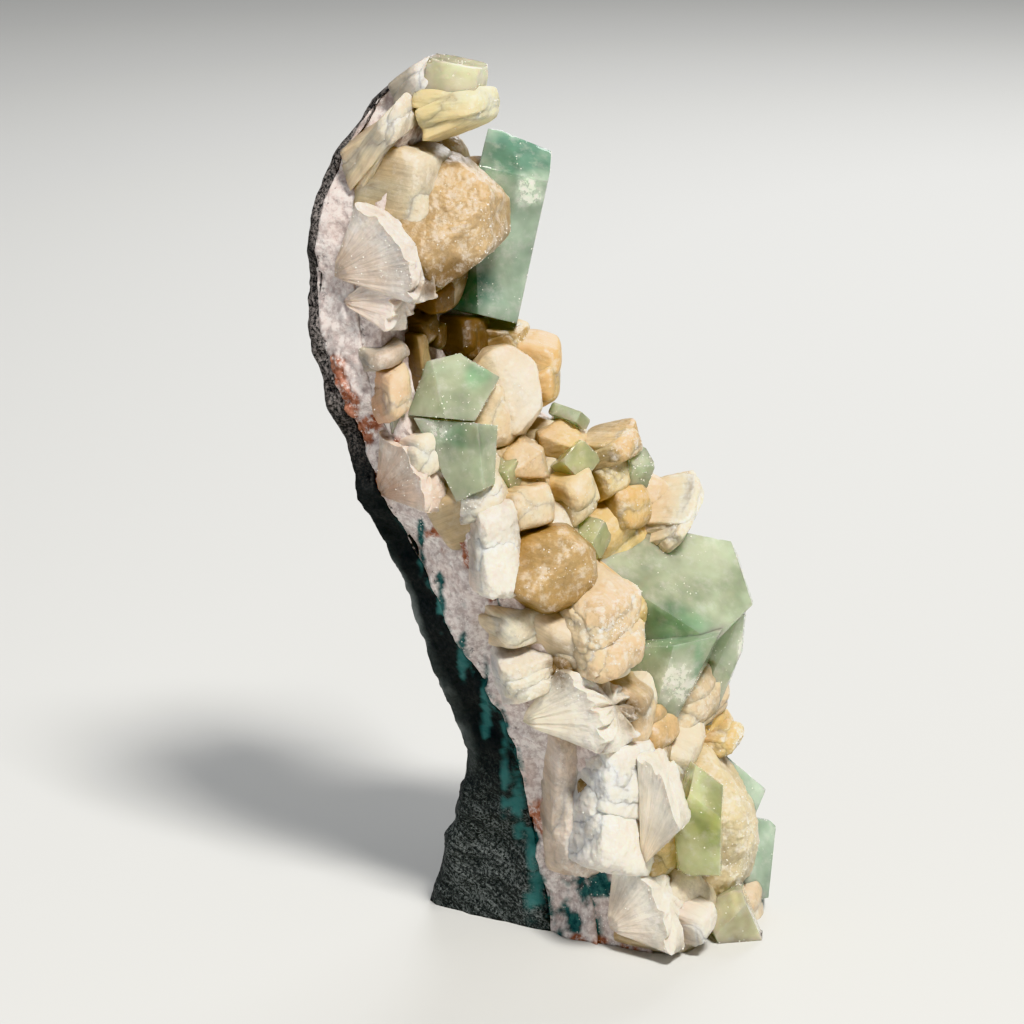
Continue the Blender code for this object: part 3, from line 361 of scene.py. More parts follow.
class ClusterColours(bpy.types.PropertyGroup):
    basalt: colour_property("Basalt", "Sawn and broken basalt", "191C1E")
    basalt_dark: colour_property("Basalt grain", "Darkest grains of the basalt", "0F1315")
    basalt_dust: colour_property("Basalt dust", "Pale dust in scratches and hollows", "7F8583")
    basalt_bloom: colour_property("Basalt bloom", "Pale speckle of the basalt high up", "A79E9A")
    rim: colour_property("Rim", "Frosted pale rim", "EAE2DD")
    rim_shade: colour_property("Rim hollows", "Greyer hollows of the rim", "C2B4B0")
    rim_flush: colour_property("Rim flush", "Pinkish patches of the rim", "CDAEA2")
    rim_specks: colour_property("Rim specks", "Dark basalt specks in the rim", "3A3234")
    rust: colour_property("Rust", "Iron stained grains", "A9694F")
    rust_dark: colour_property("Dark rust", "Darkest iron stained grains", "6A3E30")
    rust_pale: colour_property("Pale rust", "Palest iron stained grains", "CFA08A")
    celadonite: colour_property("Celadonite", "Blue-green clay mineral in the seam and pocket", "44706E")
    celadonite_dark: colour_property("Dark celadonite", "Darkest grains of the blue-green clay", "1D4245")
    mint: colour_property("Mint", "Clear green of most apophyllites", "CBD3B9")
    teal: colour_property("Teal mint", "Bluer green of the blade and the far edge", "C3D4C0")
    olive: colour_property("Olive", "Yellow-green of the small apophyllites", "D6DAAE")
    # The frost colour is also painted as glints on the rim and on spots of the green crystals.
    straw: colour_property("Straw", "Palest yellow-green", "E6E2C2")
    frost: colour_property("Frost", "White bloom and tiny crystals", "F6F3EC")
    floor: colour_property("Floor", "Studio floor", "C9C9C7")


def sizes():
    return bpy.context.scene.cluster_sizes


def colours():
    return bpy.context.scene.cluster_colours


# ---- Noise


def hashed(cells, seed):
    """A repeatable value from 0 to 1 for each cell: its whole numbers times large primes, mixed."""
    primes = np.array((374761393, 668265263, 2147483647), dtype=np.uint64)
    code = (cells.astype(np.int64).astype(np.uint64) * primes).sum(axis=-1) + np.uint64(seed * 40503 + 977)
    code = (code ^ (code >> np.uint64(13))) * np.uint64(1274126177)
    code = (code ^ (code >> np.uint64(31))) * np.uint64(2246822519)
    return ((code ^ (code >> np.uint64(17))) & np.uint64(0xFFFFFF)).astype(float) / 0xFFFFFF


def draws(count, seed, row=0):
    """A repeatable value from 0 to 1 for each of a count of things."""
    things = np.arange(count)
    return hashed(np.stack([things, things * 0 + row, things * 0], axis=-1), seed)


def swell(points, cell, seed):
    """Smooth noise from -1 to 1: hashed values at the corners of a lattice, blended by 3t^2 - 2t^3."""
    scaled = points / cell
    base = np.floor(scaled)
    part = scaled - base
    ease = part * part * (3 - 2 * part)
    total = 0.0
    for corner in itertools.product((0, 1), repeat=3):
        weight = np.prod(np.where(np.array(corner, bool), ease, 1 - ease), axis=-1)
        total = total + weight * hashed(base + np.array(corner), seed)
    return 2 * total - 1


def layered(points, cell, seed, octaves=3):
    """Swells of halving cell and height, added up."""
    return sum(swell(points, cell / 2**k, seed + k) / 2**k for k in range(octaves))


def pits(points, cell, share, seed):
    """Round pits from 0 to 1: one in each drawn cell, deep as 1 - (distance / radius)^2."""
    scaled = points / cell
    base = np.floor(scaled)
    depth = np.zeros(points.shape[:-1])
    for step in itertools.product((-1, 0, 1), repeat=3):
        cells = base + np.array(step)
        centre = cells + np.stack([hashed(cells, seed + k) for k in range(3)], axis=-1)
        radius = np.where(hashed(cells, seed + 3) < share, 0.2 + 0.3 * hashed(cells, seed + 4), 1e-6)
        distance = np.linalg.norm(scaled - centre, axis=-1)
        depth = np.maximum(depth, 1 - (distance / radius) ** 2)
    return np.clip(depth, 0.0, 1.0)


def smooth(value, low, high):
    """0 below low, 1 above high, and 3t^2 - 2t^3 between."""
    t = np.clip((value - low) / (high - low), 0.0, 1.0)
    return t * t * (3 - 2 * t)


# ---- Places

# A place on the crystal face or on the near edge is found in rounds, each nearer than the last.
FACE_ROUNDS, EDGE_ROUNDS, EDGE_PACE = 12, 16, 0.9


def seen(across, down, y):
    """The point at depth y that shows at this place of the picture: the eye's ray, cut at that depth."""
    eye = AIM + EYE_BACK * EYE_DISTANCE
    right = across * MM - PICTURE_SIDE / 2
    up = PICTURE_SIDE / 2 - down * MM
    ray = EYE_RIGHT * right + EYE_UP * up - EYE_BACK * EYE_DISTANCE
    return eye + ray * ((y - eye[1]) / ray[1])


def picture_of(points):
    """Where points show in the picture, in millimetres across and down."""
    offset = (points - AIM) @ VIEW.T
    scale = EYE_DISTANCE / (EYE_DISTANCE - offset[..., 2])
    across = (PICTURE_SIDE / 2 + offset[..., 0] * scale) / MM
    down = (PICTURE_SIDE / 2 - offset[..., 1] * scale) / MM
    return across, down


def read_stations():
    """The near edge as lines of (z, x, y), one for each boundary, and the rows (z, width, turn)."""
    lines = {"back": [], "seam": [], "rim": [], "bed": []}
    face = []
    for down, back, seam, rim, bed, corner_y, width, turn in STATIONS_MM:
        for name, across in zip(lines, (back, seam, rim, bed)):
            depth = corner_y + (bed - across) * math.tan(NEAR_TURN)
            point = seen(across, down, depth * MM)
            lines[name].append((point[2], point[0], point[1]))
        face.append((lines["bed"][-1][0], width * MM, math.radians(turn)))
    return {name: np.array(sorted(points)) for name, points in lines.items()}, np.array(sorted(face))


LINES, FACE = read_stations()
TOP_Z = LINES["rim"][-1][0]
BASALT_TOP, BED_TOP, RIM_TOP = TOP_Z - 4 * MM, TOP_Z - 2 * MM, TOP_Z - 1 * MM


def edge_at(name, z):
    """Points of one near-edge line at heights z."""
    line = LINES[name]
    z = np.asarray(z, float)
    x, y = (np.interp(z, line[:, 0], line[:, k]) for k in (1, 2))
    return np.stack([x, y, z], axis=-1)


def width_at(z):
    return np.interp(z, FACE[:, 0], FACE[:, 1])


def face_directions(z):
    """Level directions at heights z: out of the crystal face, and along it away from the viewer."""
    turn = np.interp(z, FACE[:, 0], FACE[:, 2])
    level = np.zeros_like(turn)
    outward = np.stack([np.cos(turn), -np.sin(turn), level], axis=-1)
    return outward, np.stack([np.sin(turn), np.cos(turn), level], axis=-1)


def on_face(across, down, out):
    """The point seen at this place that stands `out` off the bed, kept over the plate itself."""
    y = 0.0
    for _ in range(FACE_ROUNDS):
        point = seen(across, down, y)
        edge = edge_at("bed", point[2])
        _, away = face_directions(point[2])
        right = point[0] - edge[0]
        along = (right / away[1] - out) * away[1] / away[0]
        along = min(max(along, NEAR_MARGIN), FAR_SHARE * width_at(point[2]))
        y = edge[1] + (along - right * away[0]) / away[1]
    return point


def on_near_edge(across, down, proud):
    """The point seen at this place that stands `proud` out of the plate's near, broken edge."""
    y = 0.0
    for _ in range(EDGE_ROUNDS):
        point = seen(across, down, y)
        short = (edge_at("bed", point[2]) - point) @ NEAR_OUT_OF_EDGE + proud
        y += short * -EDGE_PACE / math.cos(NEAR_TURN)
    return point


def beyond_view(z, along, out):
    """A point of the crystal face given in the plate's own directions."""
    outward, away = face_directions(z)
    return edge_at("bed", z) + away * along + outward * out


def leaving_axes(z, swing, rise, roll):
    """The frame of a crystal as columns: its width, its thickness and its axis, which points outwards."""
    outward, away = face_directions(z)
    swing, rise, roll = (math.radians(angle) for angle in (swing, rise, roll))
    axis = (outward * math.cos(swing) + away * math.sin(swing)) * math.cos(rise) + UPWARD * math.sin(rise)
    side = away * math.cos(swing) - outward * math.sin(swing)
    width = side * math.cos(roll) + np.cross(axis, side) * math.sin(roll)
    return np.stack([width, np.cross(axis, width), axis], axis=-1)


def corner_axes(*seen_angles):
    """The frame of a block from how the three edges at its nearest corner run in the picture.

    With m the tangent of an edge's slope away from the viewer, two square edges give m_i m_j = -cos(i - j).
    """
    angles = [math.radians(angle) for angle in seen_angles]
    meet = [-math.cos(angles[i] - angles[j]) for i, j in ((1, 2), (0, 2), (0, 1))]
    edges = []
    for k, angle in enumerate(angles):
        slope = math.sqrt(meet[(k + 1) % 3] * meet[(k + 2) % 3] / meet[k])
        edge = EYE_RIGHT * math.cos(angle) + EYE_UP * math.sin(angle) - EYE_BACK * slope
        edges.append(edge / np.linalg.norm(edge))
    return np.stack(edges, axis=-1)


def view_direction(angle, facing):
    """The direction that looks this way in the picture and turns `facing` degrees to the viewer."""
    angle, facing = math.radians(angle), math.radians(facing)
    level = EYE_RIGHT * math.cos(angle) + EYE_UP * math.sin(angle)
    return level * math.cos(facing) + EYE_BACK * math.sin(facing)


# ---- Meshes


def ring_faces(ring):
    """Faces between rings of point numbers, and the number of the point after each in its ring."""
    after = np.roll(ring, -1, axis=1)
    return np.stack([ring[:-1], after[:-1], after[1:], ring[1:]], axis=-1).reshape(-1, 4), after


def ball_faces(rows, columns):
    """Faces of a grid that is closed around and at both poles: its points run pole, rings, pole."""
    ring = 1 + np.arange(rows * columns).reshape(rows, columns)
    quads, after = ring_faces(ring)
    last = rows * columns + 1
    root = np.stack([np.zeros(columns, int), after[0], ring[0]], axis=-1)
    tip = np.stack([ring[-1], after[-1], np.full(columns, last)], axis=-1)
    return [quads, root, tip]


def add_piece(name, parts, material, slot, **attributes):
    """A mesh object from parts, each points and lists of faces, with values or colours of its points."""
    mesh = bpy.data.meshes.new(name)
    points = np.concatenate([part[0] for part in parts])
    starts = np.cumsum([0] + [len(part[0]) for part in parts])
    corners, counts = [], []
    for start, (_, face_lists) in zip(starts, parts):
        for faces in face_lists:
            corners.append((faces + start).ravel())
            counts.append(np.full(len(faces), faces.shape[1]))
    corners, counts = np.concatenate(corners), np.concatenate(counts)
    points[:, 2] = np.maximum(points[:, 2], 0.0)
    mesh.vertices.add(len(points))
    mesh.vertices.foreach_set("co", points.astype(np.float32).ravel())
    mesh.loops.add(len(corners))
    mesh.loops.foreach_set("vertex_index", corners.astype(np.int32))
    mesh.polygons.add(len(counts))
    mesh.polygons.foreach_set("loop_start", (np.cumsum(counts) - counts).astype(np.int32))
    for key, values in attributes.items():
        values = np.concatenate(values).astype(np.float32)
        if values.ndim == 1:
            mesh.attributes.new(key, "FLOAT", "POINT").data.foreach_set("value", values)
        elif key == "tint":
            values = np.concatenate([values, np.ones((len(values), 1), np.float32)], axis=1)
            mesh.attributes.new(key, "FLOAT_COLOR", "POINT").data.foreach_set("color", values.ravel())
        else:
            mesh.attributes.new(key, "FLOAT_VECTOR", "POINT").data.foreach_set("vector", values.ravel())
    mesh.update(calc_edges=True)
    mesh.polygons.foreach_set("use_smooth", np.ones(len(mesh.polygons), bool))
    piece = bpy.data.objects.new(name, mesh)
    bpy.context.scene.collection.objects.link(piece)
    mesh.materials.append(material)
    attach(piece, "root")
    return piece


# ---- Stilbite

# Sizes of the lumps, the steps, the fine grain and the rough domes of a sheaf, and the frost that
# makes it rough.
LUMP_CELL, LUMPLET_CELL, STAIR_CELL, FINE_CELL = 6 * MM, 2.4 * MM, 3.2 * MM, 1.1 * MM
DOME_CELL, ROUGH_CELL, ROUGH_FROST = 1.5 * MM, 2.5 * MM, 0.7
# Painted shade in the creases: sheaves turn browner and darker between these distances sunk in the
# bed, and between these depths.
CREASE_SHADE_SUNK, CREASE_SHADE_BEHIND = (-7 * MM, 2 * MM), (-14 * MM, -4 * MM)


def zoned(points, spots, seed, ragged_mm, ragged=0.3, octaves=3, reach=1.2, low=0.0, high=0.9):
    """How far points lie in zones of the picture, from 0 to 1, with ragged borders."""
    across, down = picture_of(points)
    wander = ragged * layered(points, ragged_mm * MM, seed, octaves)
    depth = np.zeros(len(points))
    for spot_x, spot_y, half_x, half_y in spots:
        distance = np.hypot((across - spot_x) / half_x, (down - spot_y) / half_y)
        depth = np.maximum(depth, smooth(reach - distance + wander, low, high))
    return depth


def sheaf_faces(wide, thick, long, seed):
    """The faces of a blade or blunt sheaf, as outward directions and distances from its middle.

    Each face leans a few degrees its own way, and a few more faces cut the corners of the tip.
    """
    slope = math.sqrt(0.5)
    side, front = slope * (wide + long) / 2, slope * (thick + long) / 2
    directions = np.array((
        (1, 0, 0), (-1, 0, 0), (0, 1, 0), (0, -1, 0), (0, 0, 1), (0, 0, -1),
        (slope, 0, slope), (-slope, 0, slope), (0, slope, slope), (0, -slope, slope),
    ), float)
    reaches = np.array((wide, wide, thick, thick, long, long)) / 2
    reaches = np.concatenate([reaches, np.array((side, side, front, front)) * (0.86, 0.86, 0.9, 0.9)])
    directions += (draws(30, seed).reshape(10, 3) - 0.5) * LEAN
    corners = np.array(list(itertools.product((-1, 1), (-1, 1), (0.2, 1.2))), float)
    corners += (draws(24, seed, row=1).reshape(8, 3) - 0.5) * CORNER_LEAN
    directions = np.concatenate([directions, corners])
    directions /= np.linalg.norm(directions, axis=1, keepdims=True)
    support = np.abs(directions[10:]) @ np.array((wide, thick, long)) / 2
    return directions, np.concatenate([reaches, support * (0.74 + 0.2 * draws(8, seed + 1))])


def blade_surface(size, softness, seed, cell, rough, own_faces=None):
    """The surface of a blade about its own middle: x its width, y its thickness, z its axis.

    In each direction d the distance is (sum of max(0, n.d / h)^s)^(-1/s) over its faces (n, h). Slow
    swells, low flat steps, fine lines along the axis and, where it is rough, domed grains stand on it.
    """
    wide, thick, long = size
    columns = int(max(28, 2 * (wide + thick) / cell))
    rows = int(max(20, (long + (wide + thick) / 2) / cell))
    turn = np.linspace(0, 2 * np.pi, columns, endpoint=False)
    climb = np.linspace(0, np.pi, rows + 2)[1:-1]
    level = np.sin(climb)[:, None]
    up = np.repeat(-np.cos(climb)[:, None] * long, columns, 1)
    way = np.stack([level * np.cos(turn) * wide, level * np.sin(turn) * thick, up], axis=-1).reshape(-1, 3)
    way = np.concatenate([[[0, 0, -1.0]], way, [[0, 0, 1.0]]])
    way /= np.linalg.norm(way, axis=1, keepdims=True)
    normals, reaches = own_faces or sheaf_faces(wide, thick, long, seed)
    shares = np.maximum(0.0, way @ normals.T / reaches) ** softness
    total = shares.sum(axis=1)
    facet = hashed(np.stack([shares.argmax(axis=1)] * 3, axis=-1), seed + 5) - 0.5
    ridge = smooth(1 - shares.max(axis=1) / total, 0.15, 0.6)
    points = way * total[:, None] ** (-1 / softness)
    grain = points / MM
    size = sizes()
    lump = size.lump * (swell(points, LUMP_CELL, seed) + 0.35 * swell(points, LUMPLET_CELL, seed + 1))
    stair = 3 * swell(points * (1, 1, 0.35), STAIR_CELL, seed + 2)
    stair = size.blade_step * 0.3 * (np.floor(stair) + smooth(stair - np.floor(stair), 0.0, 0.22)) / 3
    lines = swell(grain * (1.1, 1.1, 0.06), 1.0, seed + 8)
    lines = lines + 0.5 * swell(grain * (2.6, 2.6, 0.1), 1.0, seed + 9)
    fine = 0.5 * size.line_depth * layered(points, FINE_CELL, seed + 20)
    if rough > ROUGH_FROST:
        domes = pits(points, DOME_CELL, 0.8, seed) + layered(points, ROUGH_CELL, seed)
        fine = fine + size.grain_height * rough * domes
    points += way * (lump + stair + fine + size.line_depth * lines)[:, None]
    return points, ball_faces(rows, columns), lines + 1.6 * facet, ridge, grain


def sheaf_parts(size_mm, flare, softness, blades, seed, cell, rough=0.0, own_faces=None):
    """The blades of a sheaf, splayed about its root: each has its own tilt, width, length and place."""
    wide, thick, long = (value * MM for value in size_mm)
    parts = []
    for k in range(blades):
        draw = hashed(np.array([[k, j, 0] for j in range(5)]), seed + 11) - 0.5
        place = (k - (blades - 1) / 2) / blades
        own = (wide * (1 - 0.5 * place**2 + 0.16 * draw[0] * (blades > 1)),
               thick / blades * (1.6 if blades > 1 else 1.0),
               long * (1 + 0.16 * draw[1] * (blades > 1)))
        blade = blade_surface(own, softness, seed + 100 * k, cell, rough, own_faces)
        points, faces, lines, ridge, grain = blade
        tilt, twist = -place * SPLAY * (1 + flare) + 0.08 * draw[2], 0.14 * draw[3] * (blades > 1)
        (a, b), (c, d) = ((math.cos(angle), math.sin(angle)) for angle in (tilt, twist))
        lean = np.array(((1, 0, 0), (0, a, b), (0, -b, a)))
        turn = np.array(((c, 0, d), (0, 1, 0), (-d, 0, c)))
        points[:, 1] += place * thick * 0.8
        points[:, 2] += 0.5 * own[2]
        points = points @ (lean @ turn).T
        points[:, :2] *= 1 + flare * (points[:, 2:] / long - 0.5)
        points[:, 0] += 0.1 * wide * draw[4] * (blades > 1)
        points[:, 2] -= 0.5 * long
        tip = smooth(points[:, 2] / long, -0.1, 0.5)
        parts.append((points, faces, tip, lines + 3 * draw[1], ridge, grain))
    return parts


def fan_part(size_mm, spread, ribs, seed):
    """A broken fan: rays leave its root, end in a scalloped rim and rib its two broad sides.

    The grid runs around a thin lens and from root to rim. Angle a and reach r bend it: x = r sin a,
    z = r cos a.
    """
    thick, long = (value * MM for value in size_mm)
    cell, size = sizes().cell, sizes()
    half = math.radians(spread)
    columns = int(2 * (2 * half * long + thick) / (0.7 * cell))
    rows = int(long / (0.8 * cell)) + 12
    turn = np.linspace(0, 2 * np.pi, columns, endpoint=False)
    climb = np.linspace(0, 1, rows + 2)[1:-1][:, None]
    corner = (np.abs(np.cos(turn)) ** 8 + np.abs(np.sin(turn)) ** 8) ** (-1 / 8)
    across, depth = np.cos(turn) * corner, np.sin(turn) * corner
    angle = np.clip(across, -1, 1) * half * np.ones_like(climb)
    rays = np.stack([angle * ribs, np.zeros_like(angle), climb * np.ones_like(angle) * 1.5], axis=-1)
    rib = swell(rays, 1.0, seed + 5) + 0.7 * swell(rays * (2.3, 1, 1.4), 1.0, seed + 6)
    lobe = swell(rays * (0.22, 1, 0.3), 1.0, seed + 7)
    dome = np.minimum(1.0, (1 - climb) / 0.12) ** 0.5 * np.minimum(1.0, climb / 0.1) ** 0.5
    scallop = 1 + 0.08 * lobe * climb + 0.012 * rib * climb
    reach = long * (0.04 + 0.96 * np.sin(climb * np.pi / 2) ** 0.9) * scallop
    side = depth * thick / 2 * dome * (0.45 + 0.55 * climb)
    side = side + np.sign(depth) * size.rib_depth * (0.7 * rib * climb**1.5 + 0.6 * lobe) * dome
    close = np.minimum(1.0, (1 - climb) / 0.05) ** 0.5
    angle = angle * (0.25 + 0.75 * np.maximum(close, 0.0))
    points = np.stack([reach * np.sin(angle), side, reach * np.cos(angle) - 0.5 * long], axis=-1)
    end = np.array([[0, 0, 0.5 * long]])
    points = np.concatenate([-end, points.reshape(-1, 3), end])
    grain = np.stack([angle * 16, side / MM, reach / MM * 0.3], axis=-1).reshape(-1, 3)
    grain = np.concatenate([grain[:1], grain, grain[-1:]])
    values = (climb * np.ones_like(rib), rib, lobe)
    climb, rib, lobe = (np.concatenate([[v.flat[0]], v.ravel(), [v.flat[-1]]]) for v in values)
    ridge = smooth(climb, 0.9, 1.0) + 0.5 * smooth(rib, 0.5, 1.3) * smooth(climb, 0.2, 0.6)
    return points, ball_faces(rows, columns), smooth(climb, 0.0, 0.7), 0.7 * rib + 0.5 * lobe, ridge, grain


def drawn_out(points, box, place):
    """The body drawn out to fill the box it is seen in, with its middle at `place`."""
    left, top, right, bottom = (value * MM for value in box)
    flat = points @ VIEW.T
    low, high = flat.min(axis=0), flat.max(axis=0)
    distance = (AIM + EYE_BACK * EYE_DISTANCE - place) @ EYE_BACK
    stretch_x = (right - left) * distance / EYE_DISTANCE / (high - low)[0]
    stretch_y = (bottom - top) * distance / EYE_DISTANCE / (high - low)[1]
    stretch = np.array((stretch_x, stretch_y, math.sqrt(stretch_x * stretch_y)))
    return (flat - (low + high) / 2) * stretch @ VIEW + place


# Where sheaves seen here lie in deep shade: across, down, half width, half height.
SHADE_SPOTS_MM = (
    (92.5, 55.0, 9.0, 3.2), (85.5, 57.5, 4.5, 2.5), (112.0, 134.0, 3.6, 4.2), (126.5, 142.0, 4.5, 5.5),
    (95.0, 65.5, 11.0, 4.0),
)


def dressed(blade, points, root, tip_colour, frost, seed):
    """A blade in its place, with its colours, frost and grain.

    Colour goes from its root to its tip. Painted shade makes it browner and darker low in the bed and
    in the shade spots. Frost lies along its ridges and whitens them: partly frost, partly painted highlight.
    """
    _, faces, tip, lines, ridge, grain = blade
    mix = np.clip(tip * 0.9 + 0.3 * swell(points, 5 * MM, seed), 0, 1)[:, None]
    tint = np.array(linear(root)) * (1 - mix) + np.array(linear(tip_colour)) * mix
    outward, _ = face_directions(points[:, 2])
    stand = ((points - edge_at("bed", points[:, 2])) * outward).sum(axis=1)
    # painted shade: darker and browner where the blade sinks into the bed and lies far back
    deep = smooth(-stand, *CREASE_SHADE_SUNK)[:, None] * smooth(points[:, 1:2], *CREASE_SHADE_BEHIND)
    tint = tint * (1 - 0.55 * deep) + np.array(linear(CREASE_SHADE_AMBER)) * 0.3 * deep
    # painted shade: darkened toward umber in the shade spots
    shade = 0.8 * zoned(points, SHADE_SPOTS_MM, 61, 9.0)[:, None]
    tint = tint * (1 - shade) + np.array(linear(SHADE_UMBER)) * shade
    tint = tint * (1 + 0.07 * lines)[:, None]
    # frost rises along ridges, whitening them: partly frost, partly a painted highlight of the edges
    return points, faces, tint, frost * (0.35 + 0.65 * tip) + 0.35 * ridge, grain


def sheaf_piece(name, blades, material):
    """One piece from dressed blades."""
    tints, frosts, grains = zip(*(blade[2:] for blade in blades))
    parts = [blade[:2] for blade in blades]
    return add_piece(name, parts, material, "stilbite", tint=tints, frost=frosts, grain=grains)


def build_sheaves(name, rows, place_on, material):
    """One piece from a group of sheaves and broken fans."""
    cell = sizes().cell
    blades = []
    for seed, (sheaf, row) in enumerate(rows.items()):
        box, out = row[:4], row[4]
        *form, count, root, tip_colour, frost = row[5:]
        is_fan = sheaf.endswith("_fan")
        angles = form[2:5] if is_fan else form[3:6]
        key = 31 * seed + 7 * len(name)
        place = place_on((box[0] + box[2]) / 2, (box[1] + box[3]) / 2, out * MM)
        axes = leaving_axes(place[2], *angles)
        own_faces = None
        if sheaf in SHEAF_FACES_MM:
            seen_faces = SHEAF_FACES_MM[sheaf]
            directions = np.array([view_direction(angle, facing) for angle, facing, _ in seen_faces])
            own_faces = directions @ axes, np.array([reach * MM for _, _, reach in seen_faces])
        if is_fan:
            made = [fan_part(form[:2], form[5], count, key)]
        else:
            made = sheaf_parts(form[:3], *form[6:], count, key, cell, frost, own_faces)
        points = drawn_out(np.concatenate([blade[0] for blade in made]) @ axes.T, box, place)
        for blade in made:
            own, points = points[:len(blade[0])], points[len(blade[0]):]
            blades.append(dressed(blade, own, root, tip_colour, frost, key))
    return sheaf_piece(name, blades, material)


def build_fillers(material):
    """Low sheaves in jittered rows over the whole crystal face."""
    dice = random.Random(FILLER_SEED)
    cell = sizes().low_cell
    blades = []
    z = FILLER_MM * FILLER_FOOT
    count = 0
    while z < TOP_Z / MM - FILLER_MM:
        along = FILLER_MM * FILLER_NEAR
        while along < width_at(z * MM) / MM - FILLER_MM * FILLER_FAR:
            jitter = [dice.uniform(-2, 2) for _ in range(2)]
            inward = max(along + jitter[1], NEAREST_FILLER_MM)
            place = beyond_view((z + jitter[0]) * MM, inward * MM, dice.uniform(-1.5, 1.5) * MM)
            size = [FILLER_MM * dice.uniform(0.85, 1.2) for _ in range(3)]
            angles = dice.uniform(-25, 25), dice.uniform(-20, 25), dice.uniform(-40, 40)
            key = 500 + 13 * count
            axes = leaving_axes(place[2], *angles)
            count += 1
            along += ALONG_STEP_MM
            across, down = picture_of(place)
            if any(left < across < right and top < down < bottom for left, top, right, bottom in CLEAR_MM):
                continue
            tones = FILLER_TONES[count % len(FILLER_TONES)]
            for blade in sheaf_parts(size, 0.1, 14, 1 + count % 3, key, cell):
                blades.append(dressed(blade, blade[0] @ axes.T + place, *tones, 0.5, key))
        z += ROW_STEP_MM
    return sheaf_piece("stilbite_bed_sheaves", blades, material)


# ---- Rock

# The crystal face's usual width, and how much coarser its mesh is, because sheaves hide it.
FACE_WIDTH, FACE_CELL = 45 * MM, 1.6
# Shares of the relief by which the far end stays back, and how much calmer the bed is than the rock.
FAR_MARGIN, FAR_INSET, BED_CALM = 0.6, 0.9, 0.4
# Sizes of the grit, the crust and the pits, how much rust swells grit, and how open pits are
# without clay.
GRIT_CELL, CRUST_CELL, PIT_CELL, RUST_SWELL, OPEN_PIT = 1.6 * MM, 6.5 * MM, 3.2 * MM, 2.5, 0.4
# The foot stays flat up to the first height and is rough from the second on.
FLAT_FOOT = (0.5 * MM, 3 * MM)


def crumble(points, reach):
    """Broken rock: two sizes of noise, which move a face in or out by up to about `reach`."""
    return reach * (swell(points, CRUMB, 3) + 0.5 * swell(points, CRUMB / 2.3, 4))


def rock_layer(inner, outer, top, rounding, relief):
    """A layer of the plate between two near-edge lines, from the foot to its top.

    It is a stack of level rings, each its near end, front, far end and back. Ends and back move in or
    out by noise; the grid is closed around and capped by a point at each end.
    """
    cell = sizes().rock_cell
    z = np.linspace(0.0, top, int(top / cell))[:, None]
    inner_edge, outer_edge = edge_at(inner, z), edge_at(outer, z)
    outward, away = face_directions(z)
    width = width_at(z)[..., None] - FAR_MARGIN * relief
    thick = np.linalg.norm(outer_edge - inner_edge, axis=-1, keepdims=True)
    end_count, face_count = int(np.median(thick) / cell) + 4, int(FACE_WIDTH / cell / FACE_CELL)
    across = np.linspace(0, 1, end_count)[None, :, None]
    along = np.linspace(0, 1, face_count + 2)[None, 1:-1, None]

    def drawn_back(share):
        """How far an end face draws back where it meets the back of the plate."""
        depth = np.minimum(1.0, share * thick / rounding) if rounding else np.ones_like(share * thick)
        return rounding * (1 - np.sqrt(1 - (1 - depth) ** 2))

    near = inner_edge + (outer_edge - inner_edge) * across
    rough = crumble(near, relief)[..., None]
    near_end = near - away * (rough - drawn_back(across))
    far_rough = crumble(near + away * width, relief)[..., None] - FAR_INSET * relief
    far_end = near + away * (width + far_rough - drawn_back(across))
    front = outer_edge + away * width * along
    inset = drawn_back(np.zeros((1, 1, 1)))
    back = inner_edge + away * (inset + along * (width - 2 * inset))
    bulge = rounding * 0.5 * np.sin(np.pi * along)
    back = back - outward * (crumble(back, relief)[..., None] + bulge if rounding else 0.0)
    sides = (
        (near_end, -away, across[..., 0]), (front, outward, 1.0),
        (far_end[:, ::-1], away, across[:, ::-1, 0]), (back[:, ::-1], -outward, 0.0),
    )
    ring = np.concatenate([part for part, _, _ in sides], axis=1)
    out = np.concatenate([np.broadcast_to(way, part.shape) for part, way, _ in sides], axis=1)
    share = np.concatenate([np.broadcast_to(depth, part.shape[:2]) for part, _, depth in sides], axis=1)
    rows, columns = ring.shape[:2]
    caps = [ring[0].mean(axis=0)[None], ring[-1].mean(axis=0)[None]]
    points = np.concatenate([caps[0], ring.reshape(-1, 3), caps[1]])
    out = np.concatenate([[-UPWARD], out.reshape(-1, 3), [UPWARD]])
    return points, ball_faces(rows, columns), out, np.concatenate([[0.5], share.ravel(), [0.5]])


# Rust and clay where they are seen on the near edge: across, down, half width, half height.
RUST_SPOTS_MM = (
    (67.5, 75.5, 2.4, 4.6), (70.5, 81.5, 2.0, 3.2), (73.5, 86.0, 2.4, 3.4), (77.0, 91.0, 2.6, 4.4),
    (75.0, 97.0, 1.8, 3.0), (87.5, 106.6, 2.0, 1.2), (91.0, 109.0, 2.6, 1.6), (94.0, 112.0, 2.2, 1.8),
    (96.5, 115.0, 2.0, 2.2), (98.6, 119.0, 1.7, 2.2),
    (107.5, 164.0, 3.4, 3.4), (118.0, 189.0, 3.0, 2.0), (126.0, 189.5, 2.2, 1.6),
)
CLAY_SPOTS_MM = (
    (117.5, 178.5, 4.2, 3.8), (114.6, 184.0, 3.6, 3.0), (106.4, 171.0, 1.6, 4.6), (107.4, 178.0, 1.6, 4.6),
    (84.4, 109.0, 0.7, 5.0), (88.0, 119.0, 0.8, 6.5), (92.6, 130.0, 0.8, 7.0), (97.0, 141.0, 0.8, 7.0),
    (101.0, 153.0, 0.9, 8.0), (103.6, 164.0, 1.0, 6.0),
)


def stained(points, spots, seed):
    """How far points lie in stains of the near edge, from 0 to 1; they fade towards hidden sides."""
    return zoned(points, spots, seed, 3.0, 0.7, 4, 1.25, 0.1, 0.6) * smooth(-points[:, 1], -8 * MM, 0.0)


